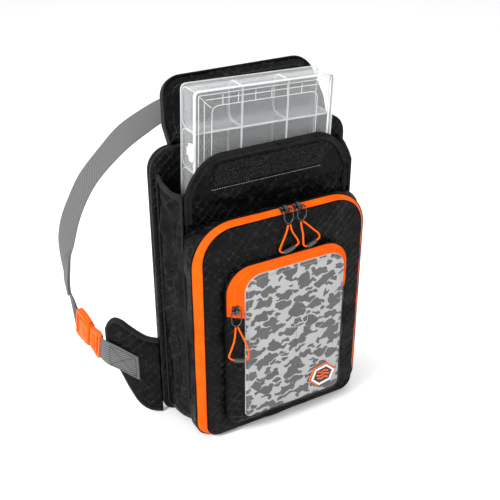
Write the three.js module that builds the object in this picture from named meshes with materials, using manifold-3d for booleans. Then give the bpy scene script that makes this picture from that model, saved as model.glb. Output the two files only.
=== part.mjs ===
// Fishing tackle sling bag with its clear tray, standing open, in millimetres.
// +Z is up, +X is to the right seen from the front, and the front faces -Y.
// The origin is on the floor, in the middle of the bag's base.
import * as THREE from 'three';
import { mergeVertices } from 'three/addons/utils/BufferGeometryUtils.js';
import Module from 'manifold-3d';

const wasm = await Module();
wasm.setup();

// Clearances
const GAP = 0.3;            // between pieces that touch
const END_GAP = 0.4;        // between the ends of two strips in one line

// Back panel, padded
const REAR = 48;            // how far its rear face lies behind the origin
const BACK_THICKNESS = 11.4;
const BACK_HALF = 135;      // half its width
const BACK_HEIGHT = 376;
const BACK_TOP_RADIUS = 27;
const BACK_FOOT_RADIUS = 18;
const BACK_EDGE = 4;        // rounding of its padded edge

// Main compartment
const TRAY_DEPTH = 38;      // the clear tray, front to back
const GUSSET_BACK_HALF = 128;
const GUSSET_FRONT_HALF = 117;
const GUSSET_CLOTH = 2.5;
const GUSSET_BACK_TOP = 343;
const GUSSET_FRONT_TOP = 329;
const GUSSET_FOOT_RADIUS = 20;
const GUSSET_BULGE = 3;     // the side cloth bows out this much between its seams
const WALL_THICKNESS = 4;   // front wall, padded
const FLAP_TOP = 376;
const FLAP_HALF = 62;       // half of the flap's straight top edge
const FLAP_NECK = 327;      // height at which the flap starts to narrow
const TAPE = 1.4;           // thickness of the binding tape
const TAPE_HEIGHT = 4.5;

// Loop fastener strip on the flap
const LOOP = { halfWidth: 74, low: 338, high: 364, endRadius: 8, thickness: 1.6 };

// Lid, standing open
const LID_LEAN = 28;        // degrees back from upright
const LID_SEAT = 0.35;      // share of the back panel's rounding that the lid sinks by
const LID = { thickness: 11, length: 77, halfHinge: 108, halfTop: 94, cornerRadius: 27, edge: 3.5 };

// Front pocket
const POCKET_HALF = 117;    // at its seam on the front wall
const POCKET_TOP = 292;
const POCKET_SEAM_RADIUS = 15;
const POCKET_FOOT = 1;      // height of its lowest cloth
const POCKET_DEPTH = 27;    // from the front wall to the zip band
const POCKET_CLOTH = 2.2;
const BAND = { half: 121, top: 304, cornerRadius: 52, footRadius: 24, depth: 10, thickness: 2 };
const PANEL = { half: 110.5, top: 299, cornerRadius: 40, footRadius: 17, thickness: 2, crown: 2 };

// Small pocket on the front panel
const SMALL = { left: -87, right: 85, bottom: 20, top: 250, cornerRadius: 33, footRadius: 16 };
const SMALL_DEPTH = 4.6;    // from the front panel to its zip band
const SMALL_BAND = { depth: 6, thickness: 1.8, endHeight: 187 };
const PRINT = { left: -64, right: 76, bottom: 31, top: 238, cornerRadius: 22, footRadius: 8 };
const PRINT_THICKNESS = 1.6;
const PRINT_CROWN = 1.8;
const BADGE = { x: 49, z: 60, radius: 21, squash: 0.86, turn: 12, thickness: 1.6 };

// Zip sliders with their wire pulls, cords and grips
const SLIDER = { length: 11, width: 8.5, height: 2.4, bridge: 3, bridgeHeight: 3.6 };
const WIRE = 0.8;           // radius of the pull wire
const CORD_RADIUS = 1.1;
const GRIP_RADIUS = 2.7;
const GRIP_BORE = 1.5;
const CORD_SIDES = 8;

// Sling strap, side release buckle and its tab
const STRAP_WIDTH = 38;
const STRAP_THICKNESS = 2;
const STRAP_SEAM = { x: -3, z: 318 };
const BUCKLE = { width: 44, thickness: 9, frameLength: 34, tongueLength: 25, bar: 3.5, slot: 3.5 };
Object.assign(BUCKLE, { turn: 8.5, rise: 12.5, aside: -8, clear: 9, height: 98 });
const TAB_THICKNESS = 2.4;
const TAB_WIDTH = 37;
const TAB_STRAIGHT = 3;     // its straight end before the buckle

// Padded wing at the lower left of the back panel
const WING = { length: 66, height: 145, thickness: 7, startTurn: 14, endTurn: 50, seamY: 41.5 };

// Clear tackle tray
const TRAY = { width: 184, length: 275, wall: 1.6, lidDepth: 3.6, radius: 6, rim: 5, recess: 1.4 };
const TRAY_TOP = 447;       // height of its top edge where it stands, half drawn out
const TRAY_TILT = 2;        // degrees that it leans to the right
const TRAY_SHIFT = -1.5;
const LATCH = { x: 3.4, y: 11, z: 21, fromEnd: 71, foot: 1.2 };

// Places that follow from the sizes above
const backFront = REAR - BACK_THICKNESS;
const wallBack = backFront - TRAY_DEPTH - 2 * GAP;
const wallFront = wallBack - WALL_THICKNESS;
const bandBack = wallFront - GAP - POCKET_DEPTH - GAP;
const bandFront = bandBack - BAND.depth;
const panelFace = bandFront - GAP - PANEL.thickness - PANEL.crown;
const smallBandBack = panelFace - GAP - SMALL_DEPTH - GAP;
const smallBandFront = smallBandBack - SMALL_BAND.depth;
const printFace = smallBandFront - GAP - PRINT_THICKNESS - PRINT_CROWN;

const radians = THREE.MathUtils.degToRad;
const v3 = (x, y, z) => new THREE.Vector3(x, y, z);

// A closed body through equal sections. Without a loop its two ends are closed by
// strips that join each end section's first half to its second half.
function body(sections, loop = false) {
  const count = sections[0].length;
  const positions = sections.flat().flatMap((p) => [p.x, p.y, p.z]);
  const index = [];
  const quad = (a, b, c, d) => index.push(a, b, c, a, c, d);
  const steps = loop ? sections.length : sections.length - 1;
  for (let i = 0; i < steps; i += 1) {
    const near = i * count;
    const far = ((i + 1) % sections.length) * count;
    for (let j = 0; j < count; j += 1) {
      const k = (j + 1) % count;
      quad(near + j, far + j, far + k, near + k);
    }
  }
  if (!loop) {
    const last = (sections.length - 1) * count;
    for (let j = 0; j < Math.ceil(count / 2) - 1; j += 1) {
      const k = count - 1 - j;
      if (k - 1 === j + 1) {
        index.push(j, j + 1, k);
        index.push(last + j, last + k, last + j + 1);
      } else {
        quad(j, j + 1, k - 1, k);
        quad(last + j, last + k, last + k - 1, last + j + 1);
      }
    }
  }
  const geometry = new THREE.BufferGeometry();
  geometry.setAttribute('position', new THREE.Float32BufferAttribute(positions, 3));
  geometry.setIndex(volume(positions, index) < 0 ? index.reverse() : index);
  return geometry;
}

function volume(positions, index) {
  const at = (i) => v3(positions[3 * i], positions[3 * i + 1], positions[3 * i + 2]);
  let sum = 0;
  for (let i = 0; i < index.length; i += 3) {
    sum += at(index[i]).dot(at(index[i + 1]).cross(at(index[i + 2])));
  }
  return sum / 6;
}

// Points of an arc, from one angle to another in degrees
function arc(x, z, radius, from, to, steps) {
  return Array.from({ length: steps + 1 }, (_, i) => {
    const angle = radians(from + ((to - from) * i) / steps);
    return [x + radius * Math.cos(angle), z + radius * Math.sin(angle)];
  });
}

// The marks along a rounded outline, which starts at the middle of its foot and
// goes up the right side. A split is the height of one more point on each side.
const CORNER = 6;
const MARK = { footRight: CORNER + 1, splitRight: CORNER + 2, splitLeft: 3 * CORNER + 6 };
MARK.footLeft = 4 * CORNER + 7;

function outline({ left, right, bottom, top, cornerRadius, footRadius, split = null }) {
  const middle = (left + right) / 2;
  const height = split ?? (bottom + top) / 2;
  return [
    [middle, bottom],
    ...arc(right - footRadius, bottom + footRadius, footRadius, -90, 0, CORNER),
    [right, height],
    ...arc(right - cornerRadius, top - cornerRadius, cornerRadius, 0, 90, CORNER),
    [middle, top],
    ...arc(left + cornerRadius, top - cornerRadius, cornerRadius, 90, 180, CORNER),
    [left, height],
    ...arc(left + footRadius, bottom + footRadius, footRadius, 180, 270, CORNER),
  ];
}

// The same outline drawn in all round
function inset(size, by) {
  return {
    ...size,
    left: size.left + by,
    right: size.right - by,
    bottom: size.bottom + by,
    top: size.top - by,
    cornerRadius: Math.max(size.cornerRadius - by, 1.5),
    footRadius: Math.max(size.footRadius - by, 1.5),
  };
}

const ring = (size, y) => outline(size).map(([x, z]) => v3(x, y, z));

// A padded slab through rings, one for each row of inset and depth
const slab = (size, rows) => body(rows.map(({ by, y }) => ring(inset(size, by), y)));

// A cloth strip along rings that follow an outline: its outer rings, then its inner
// ones back again. It runs all round, or from one mark to another past the end.
function strip(outer, inner, from = null, to = null) {
  const rings = [...outer, ...[...inner].reverse()];
  const count = rings[0].length;
  const section = (i) => rings.map((points) => points[((i % count) + count) % count].clone());
  if (from === null) {
    return body(Array.from({ length: count }, (_, i) => section(i)), true);
  }
  const sections = Array.from({ length: to - from + 1 }, (_, i) => section(from + i));
  trim(sections);
  trim(sections.reverse());
  return body(sections);
}

// Draws a strip's first section in, so that it stays clear of the next strip's end
function trim(sections) {
  const [first, second] = sections;
  const length = first[0].distanceTo(second[0]);
  first.forEach((point, i) => point.lerp(second[i], END_GAP / 2 / length));
}

// Moves each ring inwards along the outline's plane and back along Y
const cloth = (size, y, thickness, back = 0) => ring(inset(size, thickness), y + back);

function manifold(geometry) {
  const bare = new THREE.BufferGeometry();
  bare.setAttribute('position', geometry.getAttribute('position').clone());
  if (geometry.index) bare.setIndex(geometry.index.clone());
  const merged = mergeVertices(bare, 1e-4);
  return new wasm.Manifold(new wasm.Mesh({
    numProp: 3,
    vertProperties: new Float32Array(merged.getAttribute('position').array),
    triVerts: new Uint32Array(merged.index.array),
  }));
}

function fromManifold(shape) {
  const mesh = shape.getMesh();
  const geometry = new THREE.BufferGeometry();
  geometry.setAttribute('position', new THREE.BufferAttribute(mesh.vertProperties, 3));
  geometry.setIndex(new THREE.BufferAttribute(mesh.triVerts, 1));
  return geometry;
}

const box = (x, y, z, at) => new THREE.BoxGeometry(x, y, z).translate(...at);
const join = (...list) => fromManifold(list.map(manifold).reduce((a, b) => a.add(b)));
const cut = (from, ...list) => fromManifold(
  list.map(manifold).reduce((a, b) => a.subtract(b), manifold(from)),
);

// Materials, with the colours and finish of the real thing
const look = (color, roughness, metalness = 0) => new THREE.MeshStandardMaterial({ color, roughness, metalness });
const BLACK = look(0x1c1c1e, 0.75);
const RIPSTOP = look(0x2b2c2e, 0.6);
const BINDING = look(0x3a3a3c, 0.8);
const FLEECE = look(0x232324, 1);
const ORANGE = look(0xfb650f, 0.6);
const ORANGE_PLASTIC = look(0xff6a14, 0.35);
const GREY_WEBBING = look(0x878787, 0.8);
const PRINT_CLOTH = look(0xb9b9ba, 0.7);
const GUNMETAL = look(0x6d6e70, 0.35, 1);
const GRIP_RUBBER = look(0x3f4443, 0.5);
const CLEAR = new THREE.MeshStandardMaterial({ color: 0xe9eef0, roughness: 0.15, transparent: true, opacity: 0.35 });

function piece(name, geometry, material) {
  const mesh = new THREE.Mesh(geometry, material);
  mesh.name = name;
  return mesh;
}

// Back panel: a padded slab with rounded edges
function backPanel() {
  const size = {
    left: -BACK_HALF, right: BACK_HALF, bottom: 0, top: BACK_HEIGHT,
    cornerRadius: BACK_TOP_RADIUS, footRadius: BACK_FOOT_RADIUS,
  };
  const rows = [
    { by: BACK_EDGE, y: backFront },
    { by: BACK_EDGE * 0.3, y: backFront + BACK_EDGE * 0.3 },
    { by: 0, y: backFront + BACK_EDGE },
    { by: 0, y: REAR - BACK_EDGE },
    { by: BACK_EDGE * 0.3, y: REAR - BACK_EDGE * 0.3 },
    { by: BACK_EDGE, y: REAR },
  ];
  return piece('back_panel', slab(size, rows), BLACK);
}

// The open path of the gusset: down the left side, along the base and up the right
function cradle(half, top, radius, floor) {
  return [
    [-half, top],
    [-half, top * 0.66],
    [-half, top * 0.33],
    ...arc(-half + radius, floor + radius, radius, 180, 270, CORNER),
    ...arc(half - radius, floor + radius, radius, 270, 360, CORNER),
    [half, top * 0.33],
    [half, top * 0.66],
    [half, top],
  ];
}

// Rows of the gusset from its back seam to its front seam, as shares of the depth,
// of the change in width and height, and of the bulge
const GUSSET_ROWS = [
  { depth: 0, width: 0, top: 0, bulge: 0 },
  { depth: 0.3, width: 0.22, top: 0.45, bulge: 0.85 },
  { depth: 0.65, width: 0.58, top: 0.9, bulge: 1 },
  { depth: 1, width: 1, top: 1, bulge: 0 },
];

// Half width, top height and place of one row of the gusset
function gussetRow({ depth, width, top, bulge }) {
  return {
    y: THREE.MathUtils.lerp(backFront - GAP, wallFront, depth),
    half: THREE.MathUtils.lerp(GUSSET_BACK_HALF, GUSSET_FRONT_HALF, width) + GUSSET_BULGE * bulge,
    top: THREE.MathUtils.lerp(GUSSET_BACK_TOP, GUSSET_FRONT_TOP, top),
  };
}

function mainGusset() {
  const rows = GUSSET_ROWS.map(gussetRow);
  const outer = rows.map(({ y, half, top }) => (
    cradle(half, top, GUSSET_FOOT_RADIUS, 0).map(([x, z]) => v3(x, y, z))));
  const inner = rows.map(({ y, half, top }) => (
    cradle(half - GUSSET_CLOTH, top, GUSSET_FOOT_RADIUS - GUSSET_CLOTH, GUSSET_CLOTH)
      .map(([x, z]) => v3(x, y, z))));
  const rings = [...outer, ...inner.reverse()];
  const sections = rings[0].map((_, i) => rings.map((points) => points[i]));
  return piece('main_gusset', body(sections), RIPSTOP);
}

// Tape over the gusset's top edge, one for each side
function gussetBinding(name, side) {
  const sections = GUSSET_ROWS.map(gussetRow).map(({ y, half, top }, i, all) => {
    const outer = side * (half + TAPE * 0.5);
    const inner = side * (half - GUSSET_CLOTH - TAPE * 0.5);
    const low = top + GAP;
    const deep = i === all.length - 1 ? y + GAP : y;
    return [v3(outer, deep, low), v3(outer, deep, low + TAPE_HEIGHT * 0.6),
      v3((outer + inner) / 2, deep, low + TAPE_HEIGHT), v3(inner, deep, low + TAPE_HEIGHT * 0.6),
      v3(inner, deep, low)];
  });
  return piece(name, body(sections), BINDING);
}

// The front wall's edge from the left neck over the flap to the right neck, drawn
// in by an amount: a curve on each side and a straight top edge
const FLAP_STEPS = 10;

function flapEdge(by) {
  const half = GUSSET_FRONT_HALF - GUSSET_CLOTH - GAP - by;
  const top = FLAP_TOP - by;
  const curve = new THREE.CubicBezierCurve(
    new THREE.Vector2(half, FLAP_NECK), new THREE.Vector2(half - 8, FLAP_NECK + 25),
    new THREE.Vector2(FLAP_HALF + 24, top), new THREE.Vector2(FLAP_HALF, top),
  );
  const right = curve.getPoints(FLAP_STEPS).map((p) => [p.x, p.y]);
  const left = right.map(([x, z]) => [-x, z]).reverse();
  return [...right, ...left];
}

function frontWall() {
  const foot = GUSSET_CLOTH + GAP;
  const half = GUSSET_FRONT_HALF - foot;
  const radius = GUSSET_FOOT_RADIUS - foot;
  const path = [
    ...arc(half - radius, foot + radius, radius, -90, 0, CORNER),
    ...flapEdge(TAPE + GAP),
    ...arc(-half + radius, foot + radius, radius, 180, 270, CORNER),
  ];
  const sections = [wallFront, wallBack].map((y) => path.map(([x, z]) => v3(x, y, z)));
  return piece('front_wall', body(sections), BLACK);
}

function flapBinding() {
  const outer = flapEdge(0);
  const inner = flapEdge(TAPE);
  const sections = outer.map(([x, z], i) => [
    v3(x, wallFront, z), v3(x, wallBack, z),
    v3(inner[i][0], wallBack, inner[i][1]), v3(inner[i][0], wallFront, inner[i][1])]);
  return piece('flap_binding', body(sections), BINDING);
}

// Loop fastener strip, sewn on the flap's face
function loopStrip() {
  const size = {
    left: -LOOP.halfWidth, right: LOOP.halfWidth, bottom: LOOP.low, top: LOOP.high,
    cornerRadius: LOOP.endRadius, footRadius: 2,
  };
  const face = wallFront - GAP;
  return piece('loop_strip', slab(size, [{ by: 0, y: face }, { by: 0.5, y: face - LOOP.thickness }]), FLEECE);
}

// Lid and its edge tape, modelled flat and then leaned back on its hinge line
function lidOutline(by) {
  const half = LID.halfHinge - by;
  const { halfTop, length, cornerRadius } = LID;
  const radius = cornerRadius - by;
  const right = [
    [half, 0],
    [half + 1.5, length * 0.3],
    ...arc(halfTop + 10 - cornerRadius, length - cornerRadius, radius, 0, 90, CORNER),
  ];
  return [...right, ...right.map(([x, z]) => [-x, z]).reverse()];
}

function lid() {
  const rows = [
    { by: LID.edge, y: -LID.thickness },
    { by: LID.edge * 0.3, y: -LID.thickness + LID.edge * 0.5 },
    { by: TAPE + GAP, y: -LID.thickness / 2 },
    { by: LID.edge * 0.3, y: -LID.edge * 0.5 },
    { by: LID.edge, y: 0 },
  ].map(({ by, y }) => lidOutline(Math.max(by, TAPE + GAP)).map(([x, z]) => v3(x, y, z)));
  const outer = lidOutline(0);
  const inner = lidOutline(TAPE);
  const tape = outer.map(([x, z], i) => [
    v3(x, -LID.thickness + 1, z), v3(x, -1, z),
    v3(inner[i][0], -1, inner[i][1]), v3(inner[i][0], -LID.thickness + 1, inner[i][1])]);
  const group = new THREE.Group();
  group.position.set(0, REAR - 0.5, BACK_HEIGHT + GAP - LID_SEAT * BACK_EDGE);
  group.rotation.x = radians(-LID_LEAN);
  group.add(piece('lid', body(rows), BLACK), piece('lid_binding', body(tape), BINDING));
  return group;
}

// Outlines of the front pocket from the wall forwards
const pocketSeam = {
  left: -POCKET_HALF, right: POCKET_HALF, bottom: POCKET_FOOT, top: POCKET_TOP,
  cornerRadius: POCKET_SEAM_RADIUS, footRadius: POCKET_SEAM_RADIUS,
};
const bandOuter = {
  left: -BAND.half, right: BAND.half, bottom: POCKET_FOOT, top: BAND.top,
  cornerRadius: BAND.cornerRadius, footRadius: BAND.footRadius,
};
const panelOuter = {
  left: -PANEL.half, right: PANEL.half, bottom: POCKET_FOOT + 4, top: PANEL.top,
  cornerRadius: PANEL.cornerRadius, footRadius: PANEL.footRadius,
};

function pocketGusset() {
  const back = wallFront - GAP;
  const outer = [ring(pocketSeam, back), ring(bandOuter, bandBack + GAP)];
  const inner = [cloth(pocketSeam, back, POCKET_CLOTH), cloth(bandOuter, bandBack + GAP, POCKET_CLOTH)];
  return piece('pocket_gusset', strip(outer, inner), RIPSTOP);
}

// The zip band, and the plain strip that closes the same seam along the foot
function bandStrip(outerSize, innerSize, back, front, thickness, from, to) {
  const outer = [ring(outerSize, back), ring(innerSize, front)];
  const inner = [cloth(outerSize, back, thickness), cloth(innerSize, front, thickness, thickness * 0.6)];
  return strip(outer, inner, from, to);
}

function pocketBand() {
  const make = (from, to) => bandStrip(bandOuter, panelOuter, bandBack, bandFront, BAND.thickness, from, to);
  const count = outline(bandOuter).length;
  return [
    piece('pocket_zip_band', make(MARK.footRight, MARK.footLeft + CORNER), ORANGE),
    piece('pocket_foot_strip', make(MARK.footLeft + CORNER, count + MARK.footRight), BLACK),
  ];
}

// Front panel, crowned towards its middle
function pocketPanel() {
  const face = bandFront - GAP;
  return piece('pocket_panel', slab(panelOuter, [
    { by: 0, y: face },
    { by: 0, y: face - PANEL.thickness },
    { by: 3, y: face - PANEL.thickness - PANEL.crown * 0.5 },
    { by: 14, y: panelFace },
  ]), BLACK);
}

// Small pocket: side cloth, zip band, foot strip and printed panel
const smallOuter = { ...SMALL, split: SMALL_BAND.endHeight };
const printOuter = { ...PRINT, split: SMALL_BAND.endHeight };

function smallPocket() {
  const back = panelFace - GAP;
  const wall = strip(
    [ring(smallOuter, back), ring(smallOuter, smallBandBack + GAP)],
    [cloth(smallOuter, back, POCKET_CLOTH), cloth(smallOuter, smallBandBack + GAP, POCKET_CLOTH)],
  );
  const count = outline(smallOuter).length;
  const make = (from, to) => bandStrip(
    smallOuter, printOuter, smallBandBack, smallBandFront, SMALL_BAND.thickness, from, to);
  const face = smallBandFront - GAP;
  return [
    piece('small_pocket_side', wall, RIPSTOP),
    piece('small_zip_band', make(MARK.splitRight, MARK.splitLeft), ORANGE),
    piece('small_foot_strip', make(MARK.splitLeft, count + MARK.splitRight), RIPSTOP),
    piece('print_panel', slab(printOuter, [
      { by: 0, y: face },
      { by: 0, y: face - PRINT_THICKNESS },
      { by: 2.5, y: face - PRINT_THICKNESS - PRINT_CROWN * 0.55 },
      { by: 11, y: printFace },
    ]), PRINT_CLOTH),
  ];
}

// Plain six sided badge
function badge() {
  const corners = Array.from({ length: 6 }, (_, i) => radians(60 * i + BADGE.turn));
  const sections = [0, BADGE.thickness].map((forward) => corners.map((angle) => v3(
    BADGE.x + BADGE.radius * Math.cos(angle), printFace - GAP - forward,
    BADGE.z + BADGE.radius * BADGE.squash * Math.sin(angle))));
  return piece('badge', body(sections), BLACK);
}

// A round tube along a curve
function tube(curve, radius, sides, steps) {
  const section = new THREE.Shape(Array.from({ length: sides }, (_, i) => {
    const angle = (2 * Math.PI * i) / sides;
    return new THREE.Vector2(radius * Math.cos(angle), radius * Math.sin(angle));
  }));
  return new THREE.ExtrudeGeometry(section, { steps, extrudePath: curve, bevelEnabled: false });
}

// Slider: a plate on the zip with a bridge that the pull wire passes under. The
// hole under the bridge runs along the zip, or across it.
const HOLE_HEIGHT = SLIDER.height + SLIDER.bridgeHeight / 2 - 0.5;

function slider(name, seat, across) {
  const { length, width, height, bridge, bridgeHeight } = SLIDER;
  const middle = height + bridgeHeight / 2;
  const plate = box(length, width, height, [0, 0, height / 2]);
  const arch = box(bridge, width * 0.8, bridgeHeight + 0.2, [0, 0, middle - 0.1]);
  const hole = box(bridge + 2, width * 0.8 - 2.4, bridgeHeight - 1, [0, 0, HOLE_HEIGHT]);
  if (across) [arch, hole].forEach((part) => part.rotateZ(Math.PI / 2));
  const mesh = piece(name, cut(join(plate, arch), hole), GUNMETAL);
  mesh.position.copy(seat.at).addScaledVector(seat.out, GAP);
  mesh.quaternion.setFromRotationMatrix(new THREE.Matrix4().makeBasis(seat.along, seat.side, seat.out));
  return mesh;
}

// Pull wire: a closed loop of wire through its points
function wire(name, points) {
  const curve = new THREE.CatmullRomCurve3(points, true, 'centripetal');
  const steps = 28;
  const frames = curve.computeFrenetFrames(steps, true);
  const sections = Array.from({ length: steps }, (_, i) => {
    const centre = curve.getPointAt(i / steps);
    return Array.from({ length: 6 }, (_unused, j) => {
      const angle = (2 * Math.PI * j) / 6;
      return centre.clone()
        .addScaledVector(frames.normals[i], WIRE * Math.cos(angle))
        .addScaledVector(frames.binormals[i], WIRE * Math.sin(angle));
    });
  });
  return piece(name, body(sections, true), GUNMETAL);
}

// Cord through its points, and the grip on the stretch between two of them
function pullCord(name, points) {
  const curve = new THREE.CatmullRomCurve3(points, false, 'centripetal');
  return piece(name, tube(curve, CORD_RADIUS, CORD_SIDES, 34), ORANGE);
}

function grip(name, from, to) {
  const length = from.distanceTo(to);
  const profile = [[GRIP_BORE, 0], [GRIP_RADIUS, 0], [GRIP_RADIUS, length], [GRIP_BORE, length], [GRIP_BORE, 0]]
    .map(([x, y]) => new THREE.Vector2(x, y));
  const geometry = mergeVertices(stripNormals(new THREE.LatheGeometry(profile, 10)), 1e-4);
  const mesh = piece(name, geometry, GRIP_RUBBER);
  mesh.position.copy(from);
  mesh.quaternion.setFromUnitVectors(v3(0, 1, 0), to.clone().sub(from).normalize());
  return mesh;
}

function stripNormals(geometry) {
  geometry.deleteAttribute('normal');
  geometry.deleteAttribute('uv');
  return geometry;
}

// A seat on a zip band: its place, the way along the zip, across it and out of it
function seatOn(at, along, from, to) {
  const side = to.clone().sub(from).normalize();
  const out = along.clone().cross(side).normalize();
  return { at, along, side, out };
}

function topSeat(x) {
  const from = v3(x, bandFront, PANEL.top);
  const to = v3(x, bandBack, BAND.top);
  return seatOn(from.clone().lerp(to, 0.5), v3(1, 0, 0), from, to);
}

function sideSeat(z) {
  const from = v3(PRINT.left, smallBandFront, z);
  const to = v3(SMALL.left, smallBandBack, z);
  return seatOn(from.clone().lerp(to, 0.5), v3(0, 0, 1), from, to);
}

// Pull wires, seen from the hole under the bridge: sideways, out and up
const WIRE_OVER_EDGE = [
  [0, 0, 0], [-5.4, -0.4, -0.1], [-6, -7.8, -1.6], [-5.4, -9.8, -11], [0, -10, -15.6],
  [5.4, -9.8, -11], [6, -7.8, -1.6], [5.4, -0.4, -0.1],
];
const WIRE_DOWN_SIDE = [
  [0, 0, 0], [5.4, 0, -0.3], [6, 0.2, -9], [4.8, 0.4, -17], [0, 0.4, -20.4],
  [-4.8, 0.4, -17], [-6, 0.2, -9], [-5.4, 0, -0.3],
];

// The pull cords, chosen by hand: down from the wire, straight through the grip, back up
const CORDS = [
  {
    down: [[-1.5, -50.8, 288], [-3.4, -51.4, 281], [-7.4, -51.6, 271], [-11, -51.6, 263], [-12.8, -51.6, 257]],
    grip: [[-7, -51.6, 252.9], [8, -51.6, 256.9]],
    up: [[13.4, -51.6, 260.4], [12.2, -51.6, 265], [8, -51.6, 272], [4, -51.5, 279], [1.5, -50.8, 288]],
  },
  {
    down: [[16.5, -50.8, 288], [17, -51.8, 281], [17.6, -54.6, 272], [17.6, -55.4, 264], [19, -55.2, 257.6]],
    grip: [[25, -53.6, 254.2], [38, -52, 257.4]],
    up: [[43.4, -51.6, 260.8], [41.6, -51.6, 266.4], [35, -51.6, 273], [27.6, -51.6, 280.4], [19.6, -50.8, 288]],
  },
  {
    down: [[-78.1, -60.5, 174.2], [-79.4, -61.8, 166], [-82.6, -64, 156], [-87.4, -65, 145.6], [-89.8, -65, 138]],
    grip: [[-83.4, -65, 131.2], [-69.6, -65, 125.8]],
    up: [[-63.4, -65, 126.4], [-62.6, -65, 132.6], [-64.6, -65, 144], [-69.4, -63.6, 158], [-75.1, -60.5, 174.2]],
  },
];

function pulls() {
  const outward = sideSeat(0);
  const overEdge = (hole) => WIRE_OVER_EDGE.map((p) => hole.clone().add(v3(...p)));
  const downSide = (hole) => WIRE_DOWN_SIDE.map(([across, out, up]) => hole.clone()
    .addScaledVector(outward.side, across).addScaledVector(outward.out, out).add(v3(0, 0, up)));
  const seats = [topSeat(0), topSeat(18), sideSeat(196)];
  return seats.flatMap((seat, i) => {
    const number = i + 1;
    const onSide = seat.along.z > 0.5;
    const hole = seat.at.clone().addScaledVector(seat.out, GAP + HOLE_HEIGHT);
    const { down, up, grip: ends } = CORDS[i];
    const [start, end] = ends.map((p) => v3(...p));
    const middle = start.clone().lerp(end, 0.5);
    const route = [...down.map((p) => v3(...p)), start, middle, end, ...up.map((p) => v3(...p))];
    return [
      slider(`slider_${number}`, seat, onSide),
      wire(`pull_wire_${number}`, onSide ? downSide(hole) : overEdge(hole)),
      pullCord(`pull_cord_${number}`, route),
      grip(`pull_grip_${number}`, start, end),
    ];
  });
}

// Frames along a flat ribbon: each row gives its middle and the way its width points
function ribbonFrames(rows, stepsPerRow) {
  const middle = new THREE.CatmullRomCurve3(rows.map((row) => row.at), false, 'centripetal');
  const across = new THREE.CatmullRomCurve3(rows.map((row) => row.across), false, 'centripetal');
  const steps = (rows.length - 1) * stepsPerRow;
  return Array.from({ length: steps + 1 }, (_, i) => {
    const side = across.getPoint(i / steps).normalize();
    const face = middle.getTangent(i / steps).cross(side).normalize();
    return { centre: middle.getPoint(i / steps), side, face };
  });
}

function ribbon(frames, width, thickness, offset = 0) {
  return body(frames.map(({ centre, side, face }) => {
    const corner = (a, b) => centre.clone()
      .addScaledVector(side, (a * width) / 2)
      .addScaledVector(face, offset + (b * thickness) / 2);
    return [corner(-1, -1), corner(1, -1), corner(1, 1), corner(-1, 1)];
  }));
}

// The wing's middle line seen from above: an arc that turns back round the wearer.
// It gives the place and the way outwards at a share of the wing's length.
function wingAt(share) {
  const start = radians(WING.startTurn);
  const end = radians(WING.endTurn);
  const radius = WING.length / (end - start);
  const turn = THREE.MathUtils.lerp(start, end, share);
  const seam = BACK_HALF + GAP + (Math.sin(start) * WING.thickness) / 2;
  return {
    x: -seam - radius * (Math.sin(turn) - Math.sin(start)),
    y: WING.seamY + radius * (Math.cos(start) - Math.cos(turn)),
    normal: v3(-Math.sin(turn), -Math.cos(turn), 0),
    along: v3(-Math.cos(turn), Math.sin(turn), 0),
  };
}

// Rows of the wing from its seam to its tip, as shares of its length and height
const WING_ROWS = [
  { along: 0, low: 0.02, high: 0.78 },
  { along: 0.24, low: 0.05, high: 0.82 },
  { along: 0.42, low: 0.13, high: 0.88 },
  { along: 0.58, low: 0.28, high: 0.94 },
  { along: 0.72, low: 0.44, high: 0.99 },
  { along: 0.85, low: 0.58, high: 1 },
  { along: 0.94, low: 0.69, high: 0.96 },
  { along: 1, low: 0.79, high: 0.9 },
];

function wing() {
  const sections = WING_ROWS.map((row, i) => {
    const { x, y, normal } = wingAt(row.along);
    const half = (WING.thickness / 2) * (i === WING_ROWS.length - 1 ? 0.6 : 1);
    const low = row.low * WING.height;
    const high = row.high * WING.height;
    const lip = Math.min(half, (high - low) / 4);
    const point = (out, z) => v3(x, y, z).addScaledVector(normal, out * half);
    return [point(0.5, low), point(1, low + lip), point(1, high - lip), point(0.5, high),
      point(-0.5, high), point(-1, high - lip), point(-1, low + lip), point(-0.5, low)];
  });
  return piece('wing', body(sections), RIPSTOP);
}

// The buckle's own axes: it lies past the wing's tip, its width upright
const turn = radians(BUCKLE.turn);
const rise = radians(BUCKLE.rise);
const buckleAlong = v3(-Math.sin(turn) * Math.cos(rise), Math.cos(turn) * Math.cos(rise), Math.sin(rise));
const buckleAcross = v3(0, 0, 1).addScaledVector(buckleAlong, -buckleAlong.z).normalize();
const buckleFace = buckleAlong.clone().cross(buckleAcross).normalize();
const wingTip = wingAt(1);
const tabEnd = v3(wingTip.x + BUCKLE.aside, wingTip.y + BUCKLE.clear, BUCKLE.height);

function onBuckle(mesh, start) {
  mesh.position.copy(tabEnd).addScaledVector(buckleAlong, start);
  mesh.quaternion.setFromRotationMatrix(new THREE.Matrix4().makeBasis(buckleAlong, buckleAcross, buckleFace));
  return mesh;
}

// A flat plate with a drawn outline, cut through by slots from one point to another
function plate(points, thickness, slots) {
  const shape = new THREE.Shape(points.map(([x, y]) => new THREE.Vector2(x, y)));
  const blank = new THREE.ExtrudeGeometry(shape, { depth: thickness, bevelEnabled: false });
  const holes = slots.map(([from, to, half]) => (
    box(to - from, 2 * half, 2 * thickness, [(from + to) / 2, 0, 0])));
  return cut(blank.translate(0, 0, -thickness / 2), ...holes);
}

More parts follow.
